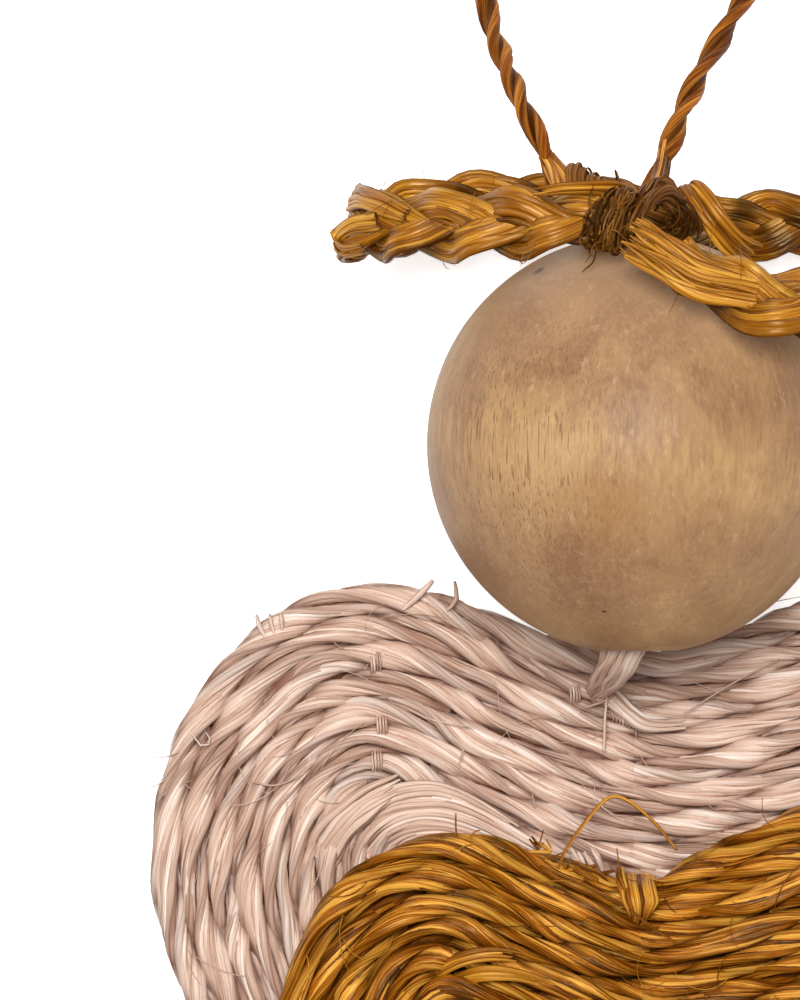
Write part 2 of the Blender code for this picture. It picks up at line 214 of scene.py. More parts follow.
# Strands that sweep over the left wing: the width of each, then its line from the centre of the head.
SWEEPING_STRANDS = (
    (0.9, (-17.4, -24.8, -10.6), (-16.0, -22.0, -9.4), (-13.4, -20.8, -9.1),
     (-10.5, -21.2, -9.1), (-5.6, -24.2, -9.9)),
    (1.0, (-17.0, -24.9, -10.5), (-15.3, -22.4, -9.3), (-13.0, -21.7, -9.1),
     (-9.9, -22.2, -9.0), (-3.9, -25.6, -9.5)),
    (0.9, (-16.2, -24.6, -10.4), (-14.6, -22.9, -9.3), (-12.3, -22.4, -9.1),
     (-9.2, -23.2, -9.0), (-6.2, -24.9, -9.4)),
    (0.9, (-15.4, -24.3, -10.4), (-13.6, -23.1, -9.2), (-11.2, -23.0, -9.1),
     (-8.7, -23.9, -9.0), (-7.2, -24.9, -9.4)),
    (0.7, (-14.5, -24.1, -10.2), (-12.9, -23.5, -9.2), (-10.8, -23.6, -9.1), (-9.2, -24.2, -9.4)),
)

# Bundle that the bead is strung on: its fibres, its route from the centre of the head and its radii.
NECK_FIBRES = 40
NECK_ROUTE = [
    (0.0, 12.1, 0.0, 1.4),
    (0.0, 4.0, 0.0, 1.4),
    (0.0, -4.0, 0.0, 1.4),
    (-0.3, -10.6, 0.0, 1.25),
    (-0.8, -12.3, -0.2, 1.15),
    (-1.2, -13.2, -1.5, 1.1),
    (-1.6, -13.9, -3.9, 1.0),
    (-1.95, -14.4, -6.4, 0.85),
    (-2.2, -14.8, -8.6, 0.7),
    (-2.4, -15.1, -10.4, 0.6),
]


def catmull_rom(points, closed, samples):
    """Fine points along a smooth curve through the given points."""
    points = np.asarray(points, float)
    if closed:
        padded = np.vstack([points[-1], points, points[:2]])
        spans = len(points)
    else:
        padded = np.vstack([2 * points[0] - points[1], points, 2 * points[-1] - points[-2]])
        spans = len(points) - 1
    t = (np.arange(samples) / samples)[:, None]
    curve = []
    for span in range(spans):
        before, start, end, after = padded[span : span + 4]
        curve.append(
            0.5
            * (
                2 * start
                + (end - before) * t
                + (2 * before - 5 * start + 4 * end - after) * t**2
                + (3 * start - before - 3 * end + after) * t**3
            )
        )
    if not closed:
        curve.append(padded[-2:-1])
    return np.vstack(curve)


def route_length(curve, closed=False):
    line = np.vstack([curve, curve[:1]]) if closed else curve
    return float(np.linalg.norm(np.diff(line, axis=0), axis=1).sum())


def evenly_spaced(curve, count, closed):
    """The given number of points at equal distances along a polyline."""
    line = np.vstack([curve, curve[:1]]) if closed else curve
    travelled = np.concatenate([[0.0], np.cumsum(np.linalg.norm(np.diff(line, axis=0), axis=1))])
    wanted = np.linspace(0.0, travelled[-1], count + 1 if closed else count)
    spaced = np.column_stack([np.interp(wanted, travelled, line[:, axis]) for axis in range(line.shape[1])])
    return spaced[:-1] if closed else spaced


def spaced_at(curve, spacing, closed):
    count = max(4, int(round(route_length(curve, closed) / spacing)) + (0 if closed else 1))
    return evenly_spaced(curve, count, closed)


def unit(vectors):
    return vectors / np.maximum(np.linalg.norm(vectors, axis=-1, keepdims=True), 1e-9)


def tangents(route, closed):
    if closed:
        return unit(np.roll(route, -1, axis=0) - np.roll(route, 1, axis=0))
    return unit(np.gradient(route, axis=0))


def upright_frames(route, up):
    """Side and upward directions square to a closed route, as near as they can be to the given upward one."""
    forward = tangents(route, True)
    up = np.broadcast_to(np.asarray(up, float), route.shape)
    up = unit(up - forward * (up * forward).sum(axis=1)[:, None])
    return np.cross(up, forward), up


def carried_frames(route):
    """Side and upward directions carried along an open route without twist."""
    forward = tangents(route, False)
    start = np.array([0.0, 0.0, 1.0]) if abs(forward[0][2]) < 0.9 else np.array([0.0, 1.0, 0.0])
    ups = []
    for direction in forward:
        start = unit(start - direction * (start @ direction))
        ups.append(start)
    ups = np.array(ups)
    return np.cross(ups, forward), ups


def slow_wave(random, length, wavelength, share):
    """A smooth wandering value from about -1 to 1 along a run, the same at both ends."""
    value = np.zeros(len(share))
    for part in (0.5, 1.0, 1.8):
        cycles = max(1, round(part * length / wavelength))
        value += random.uniform(0.4, 0.75) * np.sin(2 * math.pi * (cycles * share + random.random()))
    return value / 1.3


def within(random, low, high):
    """A random place in the box between two corners."""
    return np.array([random.uniform(*pair) if pair[0] < pair[1] else pair[0] for pair in zip(low, high)])


class Skein:
    """Bundles of fibre gathered into one mesh, with two maps.

    One says how far along and round each bundle a place is, the other how open it lies, from 0 down between
    strands to 1 on top; the finishes paint shade over the less open places.
    """

    def __init__(self):
        self.points, self.faces, self.maps, self.openness = [], [], [], []
        self.ends, self.count, self.bundles = [], 0, 0

    def add(self, route, side, up, half_width, half_height, corners=6, closed=False, open_share=1.0):
        count = len(route)
        half_width = np.broadcast_to(half_width, count)
        half_height = np.broadcast_to(half_height, count)
        open_share = np.broadcast_to(open_share, count)
        angle = 2 * math.pi * np.arange(corners) / corners
        ring = (
            route[:, None, :]
            + side[:, None, :] * (half_width[:, None] * np.cos(angle))[..., None]
            + up[:, None, :] * (half_height[:, None] * np.sin(angle))[..., None]
        )
        rows = count if closed else count - 1
        row, corner = np.meshgrid(np.arange(rows), np.arange(corners), indexing="ij")
        row, corner = row.ravel(), corner.ravel()
        below, after = (row + 1) % count, (corner + 1) % corners
        here = self.count
        first, second = here + row * corners, here + below * corners
        self.faces.append(np.column_stack([first + corner, first + after, second + after, second + corner]))
        travelled = np.concatenate([[0.0], np.cumsum(np.linalg.norm(np.diff(route, axis=0), axis=1))])
        travelled = np.append(travelled, travelled[-1] + np.linalg.norm(route[0] - route[-1]))
        round_it = np.column_stack([corner, corner + 1, corner + 1, corner]) / corners
        turn = self.bundles + 0.01 + 0.98 * round_it
        along = travelled[np.column_stack([row, row, row + 1, row + 1])]
        self.maps.append(np.stack([along, turn], axis=-1))
        openness = open_share[np.column_stack([row, row, below, below])]
        self.openness.append(np.stack([openness, openness], axis=-1))
        if not closed:
            last = here + (count - 1) * corners
            self.ends.append(tuple(range(here, here + corners)))
            self.ends.append(tuple(range(last + corners - 1, last - 1, -1)))
        self.points.append(ring.reshape(-1, 3))
        self.count += count * corners
        self.bundles += 1

    def piece(self, name, material):
        mesh = bpy.data.meshes.new(name)
        quads = np.vstack(self.faces)
        mesh.from_pydata(np.vstack(self.points) * MM, [], quads.tolist() + self.ends)
        spare = np.full((sum(len(end) for end in self.ends), 2), 0.5)
        for layer, values in (("fibre", self.maps), ("open", self.openness)):
            flat = np.vstack([np.vstack(values).reshape(-1, 2), spare])
            mesh.uv_layers.new(name=layer).data.foreach_set("uv", flat.astype(np.float32).ravel())
        return finished_piece(name, mesh, material)


def finished_piece(name, mesh, material):
    mesh.materials.append(material)
    mesh.shade_smooth()
    item = bpy.data.objects.new(name, mesh)
    bpy.context.scene.collection.objects.link(item)
    return item


def worn_by(item, slot, *nodes):
    """Rides the piece on the ornament and hides the plain solids that it stands for; slot is not used."""
    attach(item, "root")
    if nodes:
        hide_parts(*nodes)
    return item


def strand(skein, centre, side, up, width, height, bundles, random, closed, scale=1.0, opened=None, bank=0.0):
    """A strand of fibre as bundles side by side, of uneven widths, that wander as they run and draw together.

    It banks from side to side, and opened gives how open it lies for each place across it, which sets its
    painted shade.
    """
    count = len(centre)
    share = np.arange(count) / (count if closed else count - 1)
    length = route_length(centre, closed)
    parts = random.uniform(*BUNDLE_SPREAD, bundles)
    parts /= parts.sum()
    starts = np.cumsum(parts) - parts - 0.5
    roll = (bank + BUNDLE_ROLL * slow_wave(random, length, 9.0, share))[:, None]
    gather = 1.0 + BUNDLE_GATHER * slow_wave(random, length, 9.0, share)
    side, up = side * np.cos(roll) + up * np.sin(roll), up * np.cos(roll) - side * np.sin(roll)
    for part, start in zip(parts, starts):
        middle = start + 0.5 * part
        crown = math.sqrt(1.0 - (1.75 * middle) ** 2)
        wander = (middle + BUNDLE_WANDER * slow_wave(random, length, 8.0, share)) * gather
        lift = BUNDLE_LIFT * slow_wave(random, length, 6.0, share)
        swell = 1.0 + BUNDLE_SWELL * slow_wave(random, length, 8.0, share)
        thick = 1.0 + 0.06 * slow_wave(random, length, 5.0, share)
        place = centre + side * (width * wander * scale)[:, None] + up * (height * lift * scale)[:, None]
        half_width = 0.5 * part * width * BUNDLE_OVERLAP * swell * gather * scale
        half_height = 0.5 * height * crown * thick * scale
        # Painted shade: less open bundles are darker, and the bundles at a strand's edges darker still.
        shown = np.clip(opened(middle), 0.0, 1.0) if opened else 1.0
        shown = shown * (1.0 - EDGE_SHADE * (2.0 * abs(middle)) ** 3)
        skein.add(place, side, up, half_width, half_height, closed=closed, open_share=shown)


def twisted(skein, route, across, up, form, random, phase):
    """Two soft plies twisted into a closed cord, pressed between its neighbours so that it stands tall."""
    count = len(route)
    share = np.arange(count) / count
    length = route_length(route, True)
    turns = max(1, round(length / form["twist"]))
    turn = 2 * math.pi * turns * share + phase + 0.5 * slow_wave(random, length, 19.0, share)
    across, up = across * form["half_width"], up * form["half_height"]
    for ply in range(2):
        angle = turn + math.pi * ply + 0.16 * slow_wave(random, length, 11.0, share)
        outward = across * np.sin(angle)[:, None] + up * np.cos(angle)[:, None]
        round_way = across * np.cos(angle)[:, None] - up * np.sin(angle)[:, None]
        centre = route + outward * PLY_MIDDLE

        # Bundles lying low, between neighbouring rows, get painted shade.
        def opened(middle, angle=angle):
            height = PLY_MIDDLE * np.cos(angle) - PLY_SECTION[0] * middle * np.sin(angle)
            return np.abs(height) / OPEN_HEIGHT

        strand(skein, centre, round_way, outward, *PLY_SECTION, form["bundles"], random, True, opened=opened)


def plait(skein, route, across, up, form, random, scale, phase):
    """An open flat plait of three strands: each swings from side to side and passes over on its way out."""
    share = np.arange(len(route)) / (len(route) - 1)
    length = route_length(route)
    for order in range(3):
        angle = 2 * math.pi * (length / form["wavelength"] * share + order / 3) + phase
        angle = angle + 0.16 * slow_wave(random, length, 15.0, share)
        swing = (form["spread"] * np.sin(angle) * scale)[:, None]
        climb = np.sin(2 * angle) - 0.35 * np.sin(4 * angle)
        centre = route + across * swing + up * (form["rise"] * climb * scale)[:, None]
        forward = tangents(centre, False)
        side = unit(across - forward * (across * forward).sum(axis=1)[:, None])
        lifted = np.cross(forward, side)
        lifted *= np.sign((lifted * up).sum(axis=1))[:, None]
        # Visible, and clear of painted shade, from where it comes out from under one neighbour to where the
        # next one covers it.
        pass_number = np.round((angle - 0.25 * math.pi) / math.pi)
        outward = np.where(pass_number % 2 == 0, 1.0, -1.0)
        off_pass = np.abs(angle - 0.25 * math.pi - math.pi * pass_number)

        def opened(middle, off_pass=off_pass, outward=outward):
            return (OPEN_SPAN - off_pass + OPEN_LEAN * outward * middle) / OPEN_FADE

        bank = STRAND_BANK * np.cos(angle)
        section = (*form["strand"], form["bundles"])
        strand(skein, centre, side, lifted, *section, random, False, scale, opened, bank)


def heart_half(size):
    """The left half of a heart from its notch at (0, 0) over the lobe to the tip."""
    share = np.linspace(0.0, 1.0, 90)
    lobe_x, rise, drop = size["lobe_x"], size["lobe_rise"], size["shoulder_drop"]
    valley = np.column_stack([-lobe_x * share, rise * (0.5 - 0.5 * np.cos(math.pi * share))])
    turn = 0.5 * math.pi * share
    reach = size["half_width"] - lobe_x
    shoulder = np.column_stack([-lobe_x - reach * np.sin(turn), rise - drop + drop * np.cos(turn)])
    start = np.array([-size["half_width"], rise - drop])
    tip = np.array([0.0, -size["length"]])
    fall = start[1] - tip[1]
    start_handle = start - [0.0, SIDE_HANDLE_DOWN * fall]
    tip_handle = tip + [-TIP_HANDLE_X * size["half_width"], TIP_HANDLE_UP * fall]
    rest = 1.0 - share
    weights = np.column_stack([rest**3, 3 * rest**2 * share, 3 * rest * share**2, share**3])
    side = weights @ np.array([start, start_handle, tip_handle, tip])
    return np.vstack([valley[:-1], shoulder[:-1], side])


def heart_loop(size, inset, spacing):
    """A closed loop of points along the heart's outline, at a distance inside it, with rounded corners."""
    half = evenly_spaced(heart_half(size), 361, closed=False)
    line = np.vstack([half[1] * [-1, 1], half, half[-2] * [-1, 1]])
    forward = unit(line[2:] - line[:-2])
    moved = half + inset * np.column_stack([-forward[:, 1], forward[:, 0]])
    whole = np.vstack([half, half[::-1] * [-1, 1]])
    clearance = np.array([np.linalg.norm(whole - point, axis=1).min() for point in moved])
    kept = moved[(clearance > inset - 0.02) & (moved[:, 0] < 0.01)]
    kept[0, 0] = 0.0
    if abs(kept[-1, 0]) > 0.0:
        kept = np.vstack([kept, [0.0, kept[-1, 1]]])
    loop = np.vstack([kept, kept[-2:0:-1] * [-1, 1]])
    fine = evenly_spaced(loop, 480, closed=True)
    step = route_length(fine, closed=True) / len(fine)
    for _ in range(int(round(2.0 * (CORNER_ROUNDING / step) ** 2))):
        fine = 0.5 * fine + 0.25 * (np.roll(fine, 1, axis=0) + np.roll(fine, -1, axis=0))
    return spaced_at(fine, spacing, closed=True)


def on_mat(mat, flat, height):
    """Points of a mat's own plan set at its notch, with its slope, at a height above the floor."""
    return np.column_stack(
        [
            flat[:, 0] + mat["notch"][0],
            flat[:, 1] + mat["slope"] * flat[:, 0] + mat["notch"][1],
            np.broadcast_to(height, len(flat)),
        ]
    )


def mat_rows(mat, rows, random):
    """The rows of a mat, cord wound inwards along the heart, with the unevenness of hand work."""
    skein = Skein()
    for row in rows:
        inset = (row + ROW_INSET) * mat["pitch"]
        loop = heart_loop(mat["heart"], inset, mat["spacing"])
        share = np.arange(len(loop)) / len(loop)
        length = route_length(loop, closed=True)
        height = mat["middle"] + 0.1 * slow_wave(random, length, 20.0, share)
        # The wrap at the notch draws the outer rows in.
        near = np.exp(-((loop[:, 0] / 2.3) ** 2) - ((loop[:, 1] + inset) / 3.0) ** 2)
        loop[:, 1] -= mat["drawn_in"] * math.exp(-row / 2.0) * near
        route = on_mat(mat, loop, height)
        forward = tangents(route, True)
        outward = unit(np.cross(forward, [0.0, 0.0, 1.0]))
        route += outward * (0.1 * slow_wave(random, length, 24.0, share))[:, None]
        upright = np.cross(outward, forward)
        twisted(skein, route, outward, upright, mat, random, random.uniform(0, 2 * math.pi))
    return skein


def painted_shade_slab(name, mat, low, high, inset, material):
    """A thin dark slab well below the strands that closes the gaps between them: painted shade for a mat's
    inside.
    """
    loop = heart_loop(mat["heart"], inset, 1.2)
    count = len(loop)
    points = np.vstack([on_mat(mat, loop, low), on_mat(mat, loop, high)])
    faces = [(i, (i + 1) % count, count + (i + 1) % count, count + i) for i in range(count)]
    faces.append(tuple(reversed(range(count))))
    faces.append(tuple(range(count, 2 * count)))
    mesh = bpy.data.meshes.new(name)
    mesh.from_pydata(points * MM, [], faces)
    return finished_piece(name, mesh, material)


def fibre(skein, points, thickness, corners=4, spacing=0.5, tip=0.35, open_share=1.0):
    """One loose fibre with thin ends, along a smooth line through a few points set from the head's centre."""
    route = spaced_at(catmull_rom(points, False, 10), spacing, False) + HEAD
    side, up = carried_frames(route)
    share = np.linspace(0.0, 1.0, len(route))
    taper = tip + (1.0 - tip) * np.sin(math.pi * np.clip(share, 0.02, 0.98)) ** 0.4
    radius = 0.5 * thickness * taper
    skein.add(route, side, up, radius, radius, corners=corners, open_share=open_share)


def bunch(skein, points, count, widths, depth, thickness, random, ragged=0.0, flat=None):
    """Fibres side by side along a line from the centre of the head, with the bunch's width at both its ends.

    A ragged bunch has fibres of uneven length at its end. The width lies along flat, or level without it.
    """
    route = spaced_at(catmull_rom(points, False, 12), 0.3, False) + HEAD
    forward = tangents(route, False)
    if flat is None:
        side, up = carried_frames(route)
    else:
        flat = np.asarray(flat, float)
        side = unit(flat - forward * (forward @ flat)[:, None])
        up = np.cross(side, forward)
    share = np.linspace(0.0, 1.0, len(route))
    width = widths[0] + (widths[1] - widths[0]) * share
    for order in range(count):
        across = (order + random.uniform(0.2, 0.8)) / count - 0.5
        high = random.uniform(-0.5, 0.5) * math.sqrt(1.0 - (1.8 * across) ** 2)
        across = across + 0.07 * slow_wave(random, 1.0, 1.0, share)
        kept = max(4, int(round(len(route) * (1.0 - ragged * random.random()))))
        place = (route + side * (width * across)[:, None] + up * (depth * high))[:kept]
        thick = 0.5 * thickness * random.uniform(0.7, 1.3) * (1.0 - 0.75 * np.linspace(0.0, 1.0, kept) ** 5)
        skein.add(place, side[:kept], up[:kept], 1.7 * thick, 0.9 * thick, corners=5)


def loose_fibres(skein, mat, top, count, random):
    """Fine fibres that have worked loose and lie over the top of a mat, roughly along its rows."""
    loops = [heart_loop(mat["heart"], (row + LOOSE_INSET) * mat["pitch"], 1.0) for row in (0, 2, 4, 6)]
    for _ in range(count):
        loop = loops[random.choice(4, p=(0.36, 0.28, 0.2, 0.16))]
        start = random.integers(len(loop))
        flat = on_mat(mat, loop, top)
        forward = unit(flat[(start + 2) % len(loop)] - flat[start])
        angle = random.normal(0.0, 0.45)
        bend = random.normal(0.0, 0.35)
        length = random.uniform(1.5, 5.5)
        line = [flat[start] - HEAD + [random.normal(0.0, 0.5), random.normal(0.0, 0.5), -0.25]]
        for step in range(4):
            turn = angle + bend * step
            way = np.array(
                [
                    forward[0] * math.cos(turn) - forward[1] * math.sin(turn),
                    forward[0] * math.sin(turn) + forward[1] * math.cos(turn),
                    LOOSE_RISE[step] * random.uniform(0.3, 1.6),
                ]
            )
            line.append(line[-1] + way * length / 4)
        reach = mat["heart"]["half_width"]
        line = np.clip(line, (-reach, -100.0, -12.3), (reach, 100.0, 100.0))
        fibre(skein, line, random.uniform(0.05, 0.1), corners=3, spacing=0.45)


def finish_node(tree, kind, inputs=None, **settings):
    """A shader node with its settings, whose inputs are values or other nodes' outputs."""
    node = tree.nodes.new(kind)
    for name, value in settings.items():
        setattr(node, name, value)
    for name, value in (inputs or {}).items():
        if isinstance(value, bpy.types.NodeSocket):
            tree.links.new(value, node.inputs[name])
        else:
            node.inputs[name].default_value = value
    return node


def sums(tree, operation, first, second, third=None):
    inputs = {0: first, 1: second}
    if third is not None:
        inputs[2] = third
    return finish_node(tree, "ShaderNodeMath", inputs, operation=operation).outputs[0]


def times(tree, first, *others):
    for other in others:
        first = sums(tree, "MULTIPLY", first, other)
    return first


def scaled(tree, value, factor, offset):
    """The value times a factor, with an offset added."""
    return sums(tree, "MULTIPLY_ADD", value, factor, offset)


def joined(tree, x, y, z):
    return finish_node(tree, "ShaderNodeCombineXYZ", {0: x, 1: y, 2: z}).outputs[0]


def split_up(tree, vector):
    return finish_node(tree, "ShaderNodeSeparateXYZ", {0: vector}).outputs


def distance(tree, place, centre):
    node = finish_node(tree, "ShaderNodeVectorMath", {0: place, 1: centre}, operation="DISTANCE")
    return node.outputs["Value"]


def noise(tree, place, detail, roughness=0.5, distortion=0.0, scale=1.0):
    inputs = {"Vector": place, "Scale": scale, "Detail": detail, "Roughness": roughness}
    inputs["Distortion"] = distortion
    return finish_node(tree, "ShaderNodeTexNoise", inputs).outputs["Fac"]


def relief_of(tree, shader, height, strength, depth):
    inputs = {"Strength": strength, "Distance": depth, "Height": height}
    tree.links.new(finish_node(tree, "ShaderNodeBump", inputs).outputs["Normal"], shader.inputs["Normal"])


def ramp(tree, value, stops):
    node = finish_node(tree, "ShaderNodeValToRGB", {"Fac": value})
    elements = node.color_ramp.elements
    while len(elements) < len(stops):
        elements.new(0.5)
    for element, (place, colour) in zip(elements, stops):
        element.position = place
        element.color = (*colour, 1.0)
    return node.outputs["Color"]


def change(tree, value, low, high, first=0.0, last=1.0):
    """A grey that goes from its first to its last tone while the value goes from low to high."""
    return ramp(tree, value, [(low, (first,) * 3), (high, (last,) * 3)])


def mixed(tree, share, first, second):
    node = finish_node(tree, "ShaderNodeMix", data_type="RGBA", blend_type="MIX")
    for socket, value in ((node.inputs[0], share), (node.inputs[6], first), (node.inputs[7], second)):
        if isinstance(value, bpy.types.NodeSocket):
            tree.links.new(value, socket)
        elif isinstance(value, tuple):
            socket.default_value = (*value, 1.0)
        else:
            socket.default_value = value
    return node.outputs[2]


def map_of(tree, name):
    return split_up(tree, finish_node(tree, "ShaderNodeUVMap", uv_map=name).outputs["UV"])


def crown_of(tree, share):
    """From 0 where two bundles meet to 1 on the crown of a bundle, by how far round it a place is."""
    return sums(tree, "ABSOLUTE", sums(tree, "SINE", times(tree, share, 2 * math.pi), 0.0), 0.0)


def fibre_lines_group():
    """Fine lines, patches and a value for each bundle, from the map that runs along and round the bundles."""
    group = bpy.data.node_groups.new("fibre_lines", "ShaderNodeTree")
    for name, value in (("Lines Round", 24.0), ("Line Length", 9.0), ("Patch Length", 4.0)):
        socket = group.interface.new_socket(name=name, in_out="INPUT", socket_type="NodeSocketFloat")
        socket.default_value = value
    for name in ("Lines", "Patches", "Bundle", "Crown", "Open"):
        group.interface.new_socket(name=name, in_out="OUTPUT", socket_type="NodeSocketFloat")
    given = group.nodes.new("NodeGroupInput").outputs
    result = group.nodes.new("NodeGroupOutput").inputs
    along, turn, _ = map_of(group, "fibre")
    bundle = sums(group, "FLOOR", turn, 0.0)
    share = sums(group, "FRACT", turn, 0.0)
    own = finish_node(group, "ShaderNodeTexWhiteNoise", {"W": bundle}, noise_dimensions="1D").outputs["Value"]
    apart = times(group, own, 97.0)
    line_share = sums(group, "DIVIDE", along, given["Line Length"])
    line_place = joined(group, line_share, times(group, share, given["Lines Round"]), apart)
    lines = noise(group, line_place, 3.0, 0.62)
    patch_share = sums(group, "DIVIDE", along, given["Patch Length"])
    patches = noise(group, joined(group, patch_share, apart, times(group, share, 1.5)), 2.0)
    crown = crown_of(group, share)
    openness = map_of(group, "open")[0]
    shown = (("Lines", lines), ("Patches", patches), ("Bundle", own), ("Crown", crown), ("Open", openness))
    for name, value in shown:
        group.links.new(value, result[name])


def new_finish(name):
    material = bpy.data.materials.new(name)
    material.use_nodes = True
    return material, material.node_tree, material.node_tree.nodes["Principled BSDF"]


def fibre_finish(name, stops, shade, roughness, contrast=1.0, relief=0.5, gloss=0.5, tint=(1.0, 1.0, 1.0)):
    """Glossy plant fibre: coloured by line, patch and bundle, painted shade where bundles meet, fine relief.
    """
    material, tree, shader = new_finish(name)
    look = finish_node(tree, "ShaderNodeGroup", node_tree=bpy.data.node_groups["fibre_lines"]).outputs
    value = times(tree, look["Lines"], LINE_SHARE)
    value = scaled(tree, look["Patches"], PATCH_SHARE, value)
    value = scaled(tree, look["Bundle"], TONE_SHARE, value)
    middle = 0.5 * (LINE_SHARE + PATCH_SHARE + TONE_SHARE)
    value = scaled(tree, sums(tree, "SUBTRACT", value, middle), contrast, 0.5)
    colour = ramp(tree, value, stops)
    # Painted shade: darker where two bundles meet, and down between strands where a bundle lies less open.
    meeting = sums(tree, "POWER", sums(tree, "SUBTRACT", 1.0, look["Crown"]), 3.0)
    colour = mixed(tree, times(tree, meeting, MEETING_SHADE), colour, shade)
    crevice = sums(tree, "POWER", sums(tree, "SUBTRACT", 1.0, look["Open"]), 1.5)
    colour = mixed(tree, times(tree, crevice, CREVICE_SHADE), colour, shade)
    tree.links.new(colour, shader.inputs["Base Color"])
    low, high = roughness
    tree.links.new(scaled(tree, look["Lines"], high - low, low), shader.inputs["Roughness"])
    # Only the crowns of the bundles shine.
    crown = crown_of(tree, sums(tree, "FRACT", map_of(tree, "fibre")[1], 0.0))
    shine = times(tree, sums(tree, "POWER", crown, 2.5), gloss)
    tree.links.new(shine, shader.inputs["Specular IOR Level"])
    shader.inputs["Specular Tint"].default_value = (*tint, 1.0)
    relief_of(tree, shader, look["Lines"], relief, 0.00012)
    return material


def wood_finish(name):
    """Waxed turned wood: grain and short dark pores along the bore, a painted honey-coloured highlight, dark
    marks.
    """
    material, tree, shader = new_finish(name)
    place = finish_node(tree, "ShaderNodeTexCoord").outputs["Object"]
    right, up_grain, _ = split_up(tree, place)

    def pulled(scale):
        return finish_node(tree, "ShaderNodeMapping", {"Vector": place, "Scale": scale}).outputs["Vector"]

    def stretched(across, along, detail, roughness=0.5, distortion=0.0):
        return noise(tree, pulled((across, along, across)), detail, roughness, distortion)

    broad = stretched(130.0, 90.0, 5.0, 0.62, 0.5)
    grain = stretched(3600.0, 300.0, 4.0, 0.7, 0.2)
    fine = stretched(5200.0, 2600.0, 2.0)
    value = scaled(tree, grain, 0.24, scaled(tree, broad, 0.68, -0.006))
    colour = ramp(tree, scaled(tree, fine, 0.1, value), WOOD_TONES)

    # Painted honey-coloured highlight: a band across the grain that falls to the right, of short bright
    # ticks.
    fall = scaled(tree, right, 0.16, sums(tree, "ADD", up_grain, 0.0006))
    off_band = scaled(tree, broad, -0.003, sums(tree, "ADD", fall, 0.0015))
    band = sums(tree, "POWER", 2.718, times(tree, sums(tree, "POWER", off_band, 2.0), -160000.0))
    ticks = change(tree, stretched(1700.0, 420.0, 3.0, 0.7), 0.42, 0.62)
    colour = mixed(tree, times(tree, band, ticks, 0.45), colour, (0.62, 0.38, 0.16))

    # Paler towards the top, and one warm patch below the middle.
    paler = change(tree, times(tree, up_grain, 60.0), 0.25, 0.62, 0.0, 0.4)
    colour = mixed(tree, paler, colour, (0.52, 0.33, 0.195))
    away = scaled(tree, broad, 0.004, distance(tree, place, WARM_PATCH))
    warm = change(tree, times(tree, away, 100.0), 0.25, 0.5, 0.45, 0.0)
    colour = mixed(tree, warm, colour, (0.44, 0.225, 0.08))

    # Pale scuffs, and short dark pores along the grain, thickest left of the middle.
    scuffs = change(tree, stretched(2300.0, 800.0, 3.0, 0.65), 0.60, 0.72)
    colour = mixed(tree, times(tree, scuffs, 0.3), colour, (0.66, 0.46, 0.31))
    pores = change(tree, stretched(7600.0, 330.0, 2.0, 0.5), 0.58, 0.65)
    away = distance(tree, pulled((1.0, 0.72, 0.6)), PORE_PATCH)
    thickest = change(tree, times(tree, away, 100.0), 0.25, 0.8, 1.0, 0.1)
    pores = times(tree, pores, thickest, 0.62)
    colour = mixed(tree, pores, colour, (0.15, 0.068, 0.024))
    for centre, size, strength in DARK_MARKS:
        away = scaled(tree, fine, size, distance(tree, place, centre))
        near = {0: away, 1: -1.0 / size, 2: 2.2}
        mark = finish_node(tree, "ShaderNodeMath", near, operation="MULTIPLY_ADD", use_clamp=True).outputs[0]
        colour = mixed(tree, times(tree, mark, strength), colour, (0.07, 0.045, 0.035))
    tree.links.new(colour, shader.inputs["Base Color"])
    tree.links.new(scaled(tree, grain, 0.2, 0.36), shader.inputs["Roughness"])
    shader.inputs["Specular IOR Level"].default_value = 0.22
    shader.inputs["Coat Weight"].default_value = 0.02
    shader.inputs["Coat Roughness"].default_value = 0.35
    relief_of(tree, shader, scaled(tree, pores, -1.0, times(tree, grain, 0.35)), 0.35, 0.0001)
    return material


def shaded_finish(name, colour):
    """Matt dark finish, mottled, that paints the shade inside a mat."""
    material, tree, shader = new_finish(name)
    mottle = noise(tree, finish_node(tree, "ShaderNodeTexCoord").outputs["Object"], 3.0, scale=900.0)
    darker = tuple(0.35 * part for part in colour)
    tree.links.new(ramp(tree, mottle, [(0.35, darker), (0.65, colour)]), shader.inputs["Base Color"])
    shader.inputs["Roughness"].default_value = 0.9
    shader.inputs["Specular IOR Level"].default_value = 0.05
    return material


